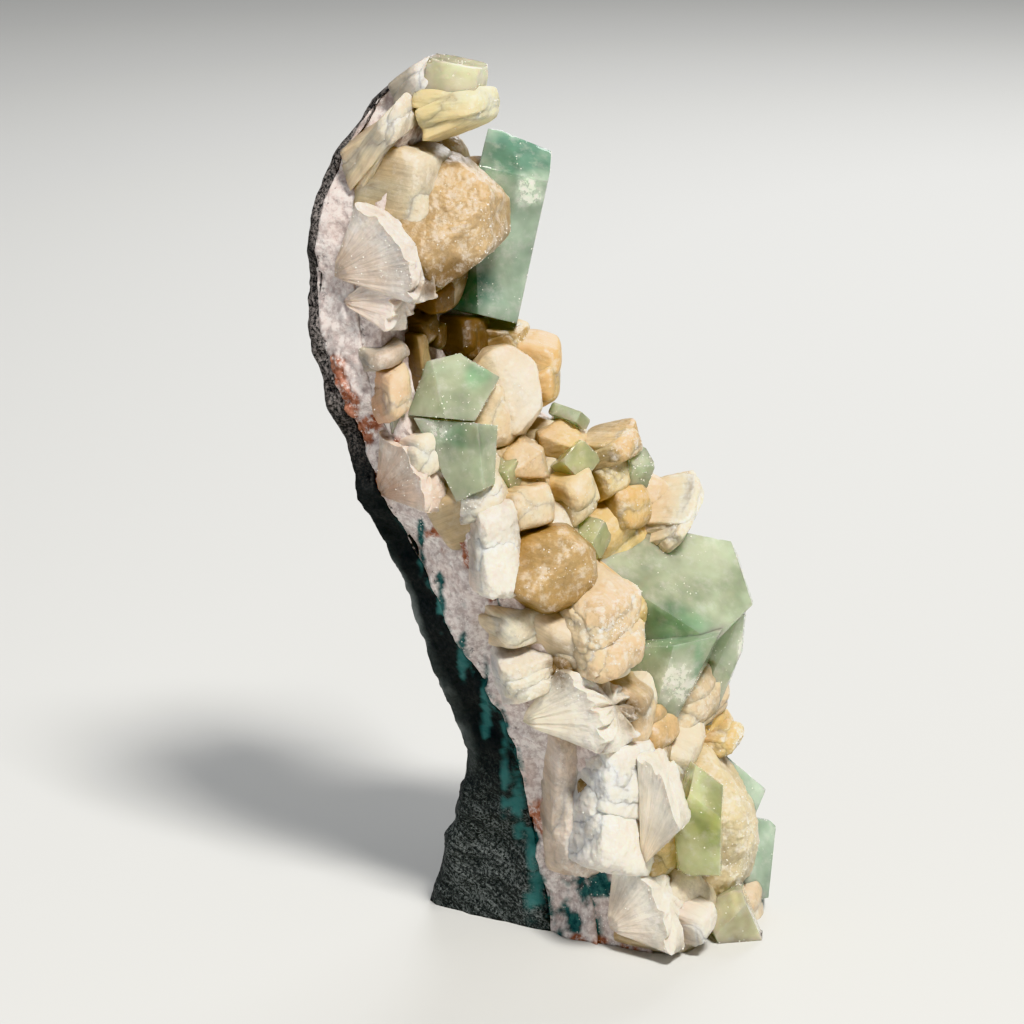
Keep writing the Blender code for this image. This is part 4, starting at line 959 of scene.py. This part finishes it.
def build_rock(name, inner, outer, top, rounding, material, slot):
    size = sizes()
    calm = BED_CALM if inner == "rim" else 1.0
    points, faces, out, share = rock_layer(inner, outer, top, rounding, size.rock_relief * calm)
    rust = stained(points, RUST_SPOTS_MM, 21)
    clay = stained(points, CLAY_SPOTS_MM, 22)
    grit = layered(points, GRIT_CELL, 31)
    crust = layered(points, CRUST_CELL, 33)
    hole = pits(points, PIT_CELL, 0.3, 41)
    height = size.grit_relief * grit * (1 + RUST_SWELL * rust) - size.pit_depth * hole * (OPEN_PIT + clay)
    height = (height + size.crust * crust * calm) * smooth(points[:, 2], *FLAT_FOOT)
    parts = [(points + out * height[:, None], faces)]
    return add_piece(name, parts, material, slot, rust=[rust], teal=[clay], share=[share], pit=[hole])


# ---- Apophyllite

# Rows of a flat face close in to its middle by these shares. Its mesh cell is coarser than a sheaf's.
CLOSING = np.array((1.0, 0.985, 0.96, 0.92, 0.86, 0.78, 0.69, 0.59, 0.48, 0.36, 0.24, 0.12))
CRYSTAL_CELL = 1.3
# Edges are worn over this depth and chipped at least so much, in swells and growth steps of these
# sizes.
WEAR, LEAST_CHIP, CHIP_CELL, STEP_CELL, STEP_LEVELS = 0.35 * MM, 0.05 * MM, 2.4 * MM, 6 * MM, 2.5
# Points this near are one; edges at least so sharp are drawn sharp, on a crystal and on a tiny grain.
WELD = 2e-6
SHARP, GRAIN_SHARP = math.radians(24), math.radians(10)


def crystal_faces(faces):
    """The flat faces of a crystal: the corners where three face planes meet inside all the others."""
    normals = np.array([face[0] for face in faces])
    reaches = np.array([face[1] for face in faces])
    triples = np.array(list(itertools.combinations(range(len(faces)), 3)))
    planes = normals[triples]
    sound = np.abs(np.linalg.det(planes)) > 1e-5
    triples, planes = triples[sound], planes[sound]
    corners = np.linalg.solve(planes, reaches[triples][..., None])[..., 0]
    kept = (corners @ normals.T <= reaches + 1e-8).all(axis=1)
    corners, triples = corners[kept], triples[kept]
    rings = []
    for k, normal in enumerate(normals):
        own = corners[(triples == k).any(axis=1)]
        own = np.unique(np.round(own, 7), axis=0)
        if len(own) < 3:
            continue
        middle = own.mean(axis=0)
        first = own[0] - middle
        first /= np.linalg.norm(first)
        order = np.argsort(np.arctan2((own - middle) @ np.cross(normal, first), (own - middle) @ first))
        rings.append((normal, own[order]))
    return rings


def crystal_surface(faces, middle, seed):
    """The surface of a crystal: each flat face is a grid around its outline and in to its middle.

    Rows close in by shares of the way to the middle. Faces carry low growth steps; edges chip by noise.
    """
    size = sizes()
    cell = size.cell * CRYSTAL_CELL
    parts = []
    for normal, corners in crystal_faces(faces):
        centre = corners.mean(axis=0)
        outline = []
        for start, end in zip(corners, np.roll(corners, -1, axis=0)):
            count = max(2, int(np.linalg.norm(end - start) / cell))
            outline.append(start + (end - start) * np.linspace(0, 1, count, endpoint=False)[:, None])
        outline = np.concatenate(outline)
        columns = len(outline)
        flat = (centre + (outline - centre) * CLOSING[:, None, None]).reshape(-1, 3)
        inner = np.repeat(1 - CLOSING, columns)
        worn = np.exp(-inner * np.linalg.norm(flat - centre, axis=1) / WEAR)
        chip = smooth(layered(flat + middle, CHIP_CELL, seed), 0.25, 0.9) * size.chip + LEAST_CHIP
        step = np.round(STEP_LEVELS * swell(flat + middle, STEP_CELL, seed + 4)) / STEP_LEVELS
        step = step * size.face_step * (1 - worn)
        flat = flat * (1 - worn * chip / np.linalg.norm(flat, axis=1))[:, None] + normal * step[:, None]
        points = np.concatenate([flat, centre[None]])
        ring = np.arange(len(flat)).reshape(len(CLOSING), columns)
        quads, after = ring_faces(ring)
        fan = np.stack([ring[-1], after[-1], np.full(columns, len(flat))], axis=-1)
        parts.append((points + middle, [quads, fan]))
    return parts


def block_shape(across, down, out, angles, size):
    """A square block with cut corners: its middle, and each flat face's direction and distance."""
    axes = corner_axes(*angles)
    half = np.array(size) * MM / 2
    inward = axes @ half / MM
    middle = on_face(across + inward @ EYE_RIGHT, down - inward @ EYE_UP, out * MM)
    faces = [(axes[:, i] * sign, half[i]) for i in range(3) for sign in (-1, 1)]
    for corner in itertools.product((-1, 1), repeat=3):
        reach = half.sum() - 3 * CORNER_CUT * half.min()
        faces.append((axes @ np.array(corner) / math.sqrt(3), reach / math.sqrt(3)))
    return middle, faces


def group_shape(seen_middle, faces):
    """The same for a crystal, or part of one, that is seen broadside."""
    across, down, out = seen_middle
    return on_face(across, down, out * MM), [(view_direction(a, f), reach * MM) for a, f, reach in faces]


# Zones of the green crystals where they are seen (across, down, half width, half height): deeper
# green, and frosted white. The frosted zones are partly real frost and partly painted glints: the
# second and third stand in for reflections on a middle crystal and on the blade.
DEEP_SPOTS_MM = (
    (134.5, 125.5, 8.5, 4.8), (103.0, 30.0, 9.0, 5.4), (95.0, 58.0, 6.5, 5.0), (95.5, 75.0, 3.4, 3.6),
    (90.6, 87.0, 4.0, 3.0), (139.6, 134.0, 1.2, 9.0), (142.0, 165.0, 4.0, 5.0), (128.0, 138.0, 4.0, 7.0),
)
FROST_AND_GLINT_SPOTS_MM = (
    (136.0, 136.2, 5.0, 4.6), (87.6, 86.2, 2.6, 2.2), (105.6, 38.5, 3.2, 3.6), (148.4, 131.5, 0.9, 5.0),
)


def build_crystal(node, shapes, material, slot, seed):
    parts = []
    for k, (middle, faces) in enumerate(shapes):
        parts += crystal_surface(faces, middle, seed + 17 * k)
    deep = [zoned(part[0], DEEP_SPOTS_MM, seed, 4.0) for part in parts]
    # frost here is real frost in some spots and painted glints in others
    frost = [zoned(part[0], FROST_AND_GLINT_SPOTS_MM, seed + 1, 1.5) for part in parts]
    piece = add_piece(node + "_crystal", parts, material, slot, deep=deep, frost=frost)
    merged = bmesh.new()
    merged.from_mesh(piece.data)
    bmesh.ops.remove_doubles(merged, verts=merged.verts, dist=WELD)
    merged.to_mesh(piece.data)
    merged.free()
    piece.data.set_sharp_from_angle(angle=SHARP)
    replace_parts(piece, node)
    return piece


# ---- Materials

# Heights between which the rock's looks come in: clay in the seam, saw scratches, bloom, and a strip
# of dust that comes in and goes out again.
SEAM_CLAY, SCRATCHES, BLOOM = (96 * MM, 70 * MM), (40 * MM, 20 * MM), (92 * MM, 124 * MM)
STRIP_IN, STRIP_OUT = (30 * MM, 42 * MM), (84 * MM, 72 * MM)
SAW_TURN, SAW_GRAIN = math.radians(35), (7 * MM, 5 * MM, 0.7 * MM)


def set_inputs(tree, node, inputs):
    """Sets inputs by name or number; sockets are linked, hex codes and threes become colours."""
    for key, value in inputs.items():
        socket = node.inputs[key]
        if isinstance(value, bpy.types.NodeSocket):
            tree.links.new(value, socket)
        elif socket.type == "RGBA":
            socket.default_value = (*(linear(value) if isinstance(value, str) else value), 1.0)
        else:
            socket.default_value = value


def add_node(tree, kind, inputs=None, **settings):
    """Adds a shader node, with its inputs and its own settings."""
    made = tree.nodes.new("ShaderNode" + kind)
    for key, value in settings.items():
        setattr(made, key, value)
    set_inputs(tree, made, inputs or {})
    return made


def new_material(name, **inputs):
    """A material with a Principled shader, whose inputs are given with _ for a space."""
    material = bpy.data.materials.new(name)
    material.use_nodes = True
    tree = material.node_tree
    shader = tree.nodes["Principled BSDF"]
    set_inputs(tree, shader, {key.replace("_", " "): value for key, value in inputs.items()})
    return material, tree, shader


def mixed(tree, share, first, second, blend="MIX"):
    """A colour between two, or one laid over the other."""
    made = add_node(tree, "Mix", {0: share, 6: first, 7: second}, data_type="RGBA", blend_type=blend)
    return made.outputs[2]


def ranged(tree, value, low, high, to_low=0.0, to_high=1.0):
    """A value moved from one range to another."""
    return add_node(tree, "MapRange", {0: value, 1: low, 2: high, 3: to_low, 4: to_high}).outputs[0]


def blended(tree, share, first, second):
    """A value between two."""
    return add_node(tree, "Mix", {0: share, 2: first, 3: second}).outputs[0]


def worked(tree, operation, first, second):
    return add_node(tree, "Math", {0: first, 1: second}, operation=operation).outputs[0]


def product(tree, first, *others):
    """Values multiplied together."""
    for other in others:
        first = worked(tree, "MULTIPLY", first, other)
    return first


def here(tree):
    """Object coordinates."""
    return add_node(tree, "TexCoord").outputs["Object"]


def height_of(tree):
    return add_node(tree, "SeparateXYZ", {0: here(tree)}).outputs[2]


def noise(tree, size_mm, detail=3.0, roughness=0.55):
    """Noise whose swells are this size."""
    inputs = {0: here(tree), 2: 1 / (size_mm * MM), 3: detail, 4: roughness}
    return add_node(tree, "TexNoise", inputs).outputs[0]


def patches(tree, size_mm, low, high, detail=5.0, roughness=0.7):
    """Ragged patches of noise: 0 under low, 1 over high."""
    return ranged(tree, noise(tree, size_mm, detail, roughness), low, high)


def attribute(tree, name, output="Fac"):
    return add_node(tree, "Attribute", attribute_name=name).outputs[output]


def bumped(tree, shader, strength, depth_mm, height):
    """Gives the shader fine relief from a height."""
    bump = add_node(tree, "Bump", {"Strength": strength, "Distance": depth_mm * MM, "Height": height})
    set_inputs(tree, shader, {"Normal": bump.outputs[0]})


def painted_glint_mask(tree, size_mm, share):
    """Painted glints: white specks at the middles of a few cells of a cell pattern, for small bright facets."""
    cells = add_node(tree, "TexVoronoi", {"Vector": here(tree), "Scale": 1 / (size_mm * MM)})
    drawn = add_node(tree, "SeparateColor", {0: cells.outputs["Color"]}).outputs[0]
    middle = ranged(tree, cells.outputs["Distance"], 0.42, 0.3)
    return product(tree, worked(tree, "LESS_THAN", drawn, share), middle)


def stilbite_material():
    """Stilbite: waxy to pearly, lets light in a few millimetres, with fine lines along its blades."""
    material, tree, shader = new_material(
        "stilbite", Subsurface_Weight=0.4, Subsurface_Radius=(1.0, 0.68, 0.4),
        Subsurface_Scale=1.8 * MM, IOR=1.5,
    )
    frost = attribute(tree, "frost")
    drawn = {0: attribute(tree, "grain", "Vector"), 3: (1.6, 1.6, 0.07)}
    lines = add_node(tree, "Mapping", drawn).outputs[0]
    fibre = add_node(tree, "TexNoise", {0: lines, 2: 1.0, 3: 5.0, 4: 0.65}).outputs[0]
    cloud = noise(tree, 6.0, 5.0, 0.6)
    colour = attribute(tree, "tint", "Color")
    colour = mixed(tree, 1.0, colour, ranged(tree, cloud, 0.3, 0.7, 0.76, 1.12), "MULTIPLY")
    colour = mixed(tree, 1.0, colour, ranged(tree, fibre, 0.3, 0.7, 0.84, 1.1), "MULTIPLY")
    # bloom follows frost, so it also whitens ridges: partly frost, partly a painted edge highlight
    bloom = product(tree, patches(tree, 2.6, 0.5, 0.62, 6.0, 0.75), frost, 0.5)
    colour = mixed(tree, bloom, colour, colours().frost)
    grain = add_node(tree, "Bump", {"Strength": 0.45, "Distance": 0.25 * MM, "Height": fibre}).outputs[0]
    facets = add_node(tree, "TexVoronoi", {"Vector": here(tree), "Scale": 1 / (1.1 * MM)})
    crumbs = product(tree, facets.outputs["Distance"], ranged(tree, frost, 0.2, 1.0, 0.1, 1.6))
    crumbs = worked(tree, "SUBTRACT", noise(tree, 0.8, 4.0), crumbs)
    relief = {"Strength": 0.4, "Distance": 0.3 * MM, "Height": crumbs, "Normal": grain}
    set_inputs(tree, shader, {
        "Base Color": colour,
        "Roughness": ranged(tree, fibre, 0.3, 0.7, 0.26, 0.46),
        "Normal": add_node(tree, "Bump", relief).outputs[0],
    })
    return material


def apophyllite_material(name, base, deep, absorption, density):
    """Apophyllite: glassy flat faces, clear to milky inside, deeper green in zones, white in frosted spots, some
    painted glints.
    """
    material, tree, shader = new_material(
        name, IOR=1.535, Subsurface_Weight=0.8, Subsurface_Radius=(0.7, 1.0, 0.75),
        Subsurface_Scale=4.0 * MM,
    )
    white = colours().frost
    cloud = noise(tree, 9.0)
    vein = noise(tree, 3.0, 5.0, 0.7)
    zone = worked(tree, "ADD", attribute(tree, "deep"), ranged(tree, cloud, 0.35, 0.7, 0.16, 0.0))
    # frost whitens, clouds and roughens the surface; in some spots it is a painted glint
    frost = product(tree, attribute(tree, "frost"), patches(tree, 1.6, 0.3, 0.65))
    colour = mixed(tree, zone, base, deep)
    colour = mixed(tree, ranged(tree, vein, 0.5, 0.72, 0.0, 0.5), colour, white)
    set_inputs(tree, shader, {
        "Base Color": mixed(tree, frost, colour, white),
        "Transmission Weight": blended(tree, frost, ranged(tree, cloud, 0.34, 0.66, 0.7, 0.4), 0.05),
        "Roughness": blended(tree, frost, ranged(tree, vein, 0.3, 0.7, 0.03, 0.16), 0.5),
    })
    bumped(tree, shader, 0.12, 0.2, noise(tree, 0.9))
    absorb = add_node(tree, "VolumeAbsorption", {"Color": absorption, "Density": density}).outputs[0]
    set_inputs(tree, tree.nodes["Material Output"], {"Volume": absorb})
    return material


def sparkle_material():
    """Tiny zeolite crystals: white and glossy, so that a few of them flash."""
    white = colours().frost
    return new_material(
        "zeolite_sparkle", Base_Color=white, Roughness=0.08, IOR=1.52, Coat_Weight=0.6, Coat_Roughness=0.03
    )[0]


def rim_material():
    """Frosted rock: pale and granular, with rust and blue-green clay in places, and painted glints."""
    material, tree, shader = new_material(
        "frosted_rim_rock", Subsurface_Weight=0.15, Subsurface_Radius=(1.0, 0.7, 0.6),
        Subsurface_Scale=1.2 * MM,
    )
    tone = colours()
    grain = noise(tree, 1.3, 5.0, 0.7)
    colour = mixed(tree, ranged(tree, grain, 0.4, 0.58), tone.rim_shade, tone.rim)
    colour = mixed(tree, ranged(tree, noise(tree, 9.0), 0.45, 0.7, 0.0, 0.4), colour, tone.rim_flush)
    share = attribute(tree, "share")
    near_seam = ranged(tree, ranged(tree, share, 0.4, 0.0), 0.0, 1.0, 0.12, 1.0)
    colour = mixed(tree, product(tree, patches(tree, 1.6, 0.6, 0.66), near_seam), colour, tone.rim_specks)
    low_down = ranged(tree, height_of(tree), *SEAM_CLAY)
    seam = product(tree, ranged(tree, share, 0.16, 0.02), low_down, patches(tree, 5.0, 0.5, 0.6))
    colour = mixed(tree, seam, colour, tone.celadonite)
    rusty = mixed(tree, ranged(tree, grain, 0.35, 0.65), tone.rust_dark, tone.rust_pale)
    rust = product(tree, attribute(tree, "rust"), patches(tree, 1.8, 0.38, 0.5, roughness=0.75))
    colour = mixed(tree, rust, colour, mixed(tree, 0.5, rusty, tone.rust))
    clay = mixed(tree, ranged(tree, grain, 0.4, 0.6), tone.celadonite_dark, tone.celadonite)
    colour = mixed(tree, attribute(tree, "teal"), colour, clay)
    # painted glints: white specks mixed into the base colour
    colour = mixed(tree, product(tree, painted_glint_mask(tree, 0.4, 0.06), 0.7), colour, tone.frost)
    set_inputs(tree, shader, {"Base Color": colour, "Roughness": ranged(tree, grain, 0.3, 0.7, 0.8, 0.55)})
    bumped(tree, shader, 0.7, 0.5, grain)
    return material


def basalt_material():
    """Basalt: nearly black and fine grained, with saw scratches low down and dust in its hollows."""
    material, tree, shader = new_material("basalt")
    tone = colours()
    grain = noise(tree, 0.9, 5.0, 0.7)
    broad = noise(tree, 11.0, 4.0)
    height = height_of(tree)
    share = attribute(tree, "share")
    colour = mixed(tree, ranged(tree, grain, 0.4, 0.66), tone.basalt_dark, tone.basalt)
    saw_marks = {0: here(tree), 2: (0.0, SAW_TURN, 0.0), 3: SAW_GRAIN}
    turned = add_node(tree, "Mapping", saw_marks, vector_type="TEXTURE").outputs[0]
    streak = add_node(tree, "TexNoise", {0: turned, 2: 1.0, 3: 4.0, 4: 0.7}).outputs[0]
    low_down = ranged(tree, ranged(tree, height, *SCRATCHES), 0.0, 1.0, 0.06, 1.0)
    speckle = patches(tree, 0.6, 0.44, 0.58, roughness=0.8)
    scratched = product(tree, ranged(tree, streak, 0.36, 0.64, 0.2, 1.0), speckle, low_down)
    colour = mixed(tree, scratched, colour, tone.basalt_dust)
    high_up = ranged(tree, height, *BLOOM)
    high_up = product(tree, high_up, ranged(tree, broad, 0.35, 0.6, 0.2, 0.8), speckle)
    colour = mixed(tree, high_up, colour, tone.basalt_bloom)
    strip = product(
        tree, ranged(tree, share, 0.35, 0.1), ranged(tree, height, *STRIP_IN),
        ranged(tree, height, *STRIP_OUT), ranged(tree, broad, 0.4, 0.6, 0.2, 0.9),
    )
    colour = mixed(tree, strip, colour, tone.basalt_dust)
    seam = ranged(tree, share, 0.8, 1.0)
    seam = product(tree, seam, ranged(tree, height, *SEAM_CLAY), patches(tree, 4.0, 0.5, 0.6), 0.85)
    colour = mixed(tree, seam, colour, tone.celadonite)
    colour = mixed(tree, attribute(tree, "teal"), colour, tone.celadonite)
    set_inputs(tree, shader, {"Base Color": colour, "Roughness": ranged(tree, grain, 0.3, 0.7, 0.9, 0.6)})
    bumped(tree, shader, 0.6, 0.4, grain)
    return material


# ---- Operators

# The largest share of points that carry a tiny grain, the size of the grains' clusters, and how
# frosted green crystals count as, without and with frost of their own; that frost includes the
# painted glint spots.
SPARKLE_SHARE, CLUSTER_CELL, GREEN_FROST, GREEN_GAIN = 0.125, 5 * MM, 0.7, 0.8
# A tiny grain's corners, as shares of its size, and its faces.
GRAIN_CORNERS = np.array(list(itertools.product((-0.5, 0.5), repeat=3))) * (1.0, 0.8, 0.7)
CUBE_FACES = np.array(((0, 1, 3, 2), (4, 6, 7, 5), (0, 4, 5, 1), (2, 3, 7, 6), (0, 2, 6, 4), (1, 5, 7, 3)))
# The stage: half the floor's side, the width of the camera's film in millimetres, lamps and sky.
FLOOR_HALF = 3.0
FILM_MM = 36.0
LAMPS = (
    # name, place, size, watts, colour
    ("key", (0.34, -0.78, 1.2), 0.3, 29.0, "FFFCF6"),
    ("fill", (-0.9, -0.9, 0.4), 0.8, 2.2, "F2F6FF"),
    ("back", (0.3, 0.9, 0.8), 0.6, 9.0, "FFFFFF"),
)
SKY_COLOUR = (0.85, 0.88, 0.92)
SKY_STRENGTH = 0.22


class ClusterPiece(bpy.types.Operator):
    """Builds one kind of piece of the cluster"""

    bl_options = {"REGISTER", "UNDO"}


class CLUSTER_OT_basalt(ClusterPiece):
    """Builds the basalt wall"""

    bl_idname = "cluster.basalt"
    bl_label = "Basalt wall"

    def execute(self, context):
        rock = basalt_material()
        piece = build_rock("basalt_wall", "back", "seam", BASALT_TOP, BACK_ROUNDING, rock, "basalt")
        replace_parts(piece, "basalt_matrix")
        return {"FINISHED"}


class CLUSTER_OT_rim(ClusterPiece):
    """Builds the pale frosted rim between the basalt and the crystals"""

    bl_idname = "cluster.rim"
    bl_label = "Pale rim"

    def execute(self, context):
        piece = build_rock("frosted_rim", "seam", "rim", RIM_TOP, 0.0, rim_material(), "pale_rim")
        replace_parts(piece, "pale_rim")
        return {"FINISHED"}


class CLUSTER_OT_stilbite(ClusterPiece):
    """Builds the stilbite sheaves, the broken fans of the near edge and the bed they grow from"""

    bl_idname = "cluster.stilbite"
    bl_label = "Stilbite sheaves"

    def execute(self, context):
        material = stilbite_material()
        for groups, place_on in ((SHEAVES_MM, on_face), (EDGE_SHEAVES_MM, on_near_edge)):
            for name, rows in groups.items():
                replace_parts(build_sheaves(name, rows, place_on, material), "stilbite_druse")
        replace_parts(build_fillers(material), "stilbite_druse")
        bed = build_rock("stilbite_bed", "rim", "bed", BED_TOP, 0.0, rim_material(), "stilbite")
        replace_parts(bed, "stilbite_druse")
        return {"FINISHED"}


class CLUSTER_OT_apophyllite(ClusterPiece):
    """Builds the green apophyllite crystals"""

    bl_idname = "cluster.apophyllite"
    bl_label = "Apophyllite crystals"

    def execute(self, context):
        materials = {
            kind: apophyllite_material("apophyllite_" + kind, getattr(colours(), kind), *looks[:3])
            for kind, looks in FINISHES.items()
        }
        jobs = [(name, [block_shape(*row[:5])], row[5]) for name, row in BLOCKS_MM.items()]
        for name, (kind, parts) in GROUPS_MM.items():
            jobs.append((name, [group_shape(*part) for part in parts], kind))
        for seed, (name, shapes, kind) in enumerate(jobs):
            build_crystal(name, shapes, materials[kind], FINISHES[kind][3], 100 + seed)
        return {"FINISHED"}


class CLUSTER_OT_sparkle(ClusterPiece):
    """Scatters tiny crystals over the frosted parts of the sheaves and the green crystals"""

    bl_idname = "cluster.sparkle"
    bl_label = "Sparkling grains"

    def execute(self, context):
        found = []
        for obj in sorted(bpy.data.objects, key=lambda item: item.name):
            if obj.type != "MESH" or "frost" not in obj.data.attributes:
                continue
            mesh = obj.data
            points, normals, frost = (np.empty(len(mesh.vertices) * size, np.float32) for size in (3, 3, 1))
            mesh.vertices.foreach_get("co", points)
            mesh.vertex_normals.foreach_get("vector", normals)
            mesh.attributes["frost"].data.foreach_get("value", frost)
            if "deep" in mesh.attributes:
                frost = GREEN_FROST + GREEN_GAIN * frost
            found.append((points.reshape(-1, 3).astype(float), normals.reshape(-1, 3), frost))
        points, normals, frost = (np.concatenate(values) for values in zip(*found))
        cluster = smooth(layered(points, CLUSTER_CELL, 77), 0.05, 0.8)
        kept = draws(len(points), 78) < SPARKLE_SHARE * np.clip(frost, 0, 1.5) ** 1.5 * (0.15 + cluster)
        places, outs = points[kept], normals[kept]
        index = np.arange(len(places))
        draw = np.stack([draws(len(places), 79, row) for row in range(7)], axis=1)
        side = sizes().sparkle * (0.25 + 0.75 * draw[:, 0] ** 2)
        first = draw[:, 1:4] - 0.5
        first /= np.linalg.norm(first, axis=1, keepdims=True)
        second = np.cross(first, draw[:, 4:7] - 0.5)
        second /= np.linalg.norm(second, axis=1, keepdims=True)
        axes = np.stack([first, second, np.cross(first, second)], axis=1)
        corners = (GRAIN_CORNERS @ axes) * side[:, None, None] + (places + outs * side[:, None] * 0.15)[:, None, :]
        quads = (CUBE_FACES[None] + 8 * index[:, None, None]).reshape(-1, 4)
        parts = [(corners.reshape(-1, 3), [quads])]
        piece = add_piece("sparkling_grains", parts, sparkle_material(), "stilbite")
        piece.data.set_sharp_from_angle(angle=GRAIN_SHARP)
        return {"FINISHED"}


class CLUSTER_OT_stage(ClusterPiece):
    """Sets the pale floor, the soft lights and the camera at the viewer's place"""

    bl_idname = "cluster.stage"
    bl_label = "Stage"

    def execute(self, context):
        scene = context.scene
        mesh = bpy.data.meshes.new("studio_floor")
        corners = [(x * FLOOR_HALF, y * FLOOR_HALF, 0) for x, y in ((-1, -1), (1, -1), (1, 1), (-1, 1))]
        mesh.from_pydata(corners, [], [(0, 1, 2, 3)])
        floor = bpy.data.objects.new("studio_floor", mesh)
        scene.collection.objects.link(floor)
        mesh.materials.append(new_material("studio_floor", Base_Color=colours().floor, Roughness=0.9)[0])
        camera = bpy.data.objects.new("camera", bpy.data.cameras.new("camera"))
        camera.data.sensor_width = FILM_MM
        camera.data.lens = FILM_MM * EYE_DISTANCE / PICTURE_SIDE
        camera.location = AIM + EYE_BACK * EYE_DISTANCE
        camera.rotation_euler = (math.pi / 2 - EYE_ELEVATION, 0.0, 0.0)
        scene.collection.objects.link(camera)
        scene.camera = camera
        for name, place, side, watts, code in LAMPS:
            lamp = bpy.data.lights.new(name, "AREA")
            lamp.shape = "SQUARE"
            lamp.size = side
            lamp.energy = watts
            lamp.color = linear(code)
            obj = bpy.data.objects.new(name, lamp)
            obj.location = place
            look = obj.location - Vector(AIM)
            obj.rotation_euler = look.to_track_quat("Z", "Y").to_euler()
            scene.collection.objects.link(obj)
        world = bpy.data.worlds.new("studio")
        world.use_nodes = True
        inputs = world.node_tree.nodes["Background"].inputs
        inputs["Color"].default_value = (*SKY_COLOUR, 1.0)
        inputs["Strength"].default_value = SKY_STRENGTH
        scene.world = world
        scene.view_settings.view_transform = "Khronos PBR Neutral"
        return {"FINISHED"}


class CLUSTER_PT_panel(bpy.types.Panel):
    """Lists the steps that build the cluster"""

    bl_idname = "CLUSTER_PT_panel"
    bl_label = "Apophyllite cluster"
    bl_space_type = "VIEW_3D"
    bl_region_type = "UI"
    bl_category = "Cluster"

    def draw(self, context):
        for step in STEPS:
            self.layout.operator(step.bl_idname)
        for group in (context.scene.cluster_sizes, context.scene.cluster_colours):
            column = self.layout.column()
            for key in group.__annotations__:
                column.prop(group, key)


STEPS = (
    CLUSTER_OT_basalt, CLUSTER_OT_rim, CLUSTER_OT_stilbite,
    CLUSTER_OT_apophyllite, CLUSTER_OT_sparkle, CLUSTER_OT_stage,
)
CLASSES = (ClusterSizes, ClusterColours) + STEPS + (CLUSTER_PT_panel,)


def register():
    for kind in CLASSES:
        bpy.utils.register_class(kind)
    bpy.types.Scene.cluster_sizes = bpy.props.PointerProperty(type=ClusterSizes)
    bpy.types.Scene.cluster_colours = bpy.props.PointerProperty(type=ClusterColours)


def unregister():
    del bpy.types.Scene.cluster_colours
    del bpy.types.Scene.cluster_sizes
    for kind in reversed(CLASSES):
        bpy.utils.unregister_class(kind)


def main():
    register()
    bpy.ops.cluster.basalt()
    bpy.ops.cluster.rim()
    bpy.ops.cluster.stilbite()
    bpy.ops.cluster.apophyllite()
    bpy.ops.cluster.sparkle()
    bpy.ops.cluster.stage()


if __name__ == "__main__":
    main()
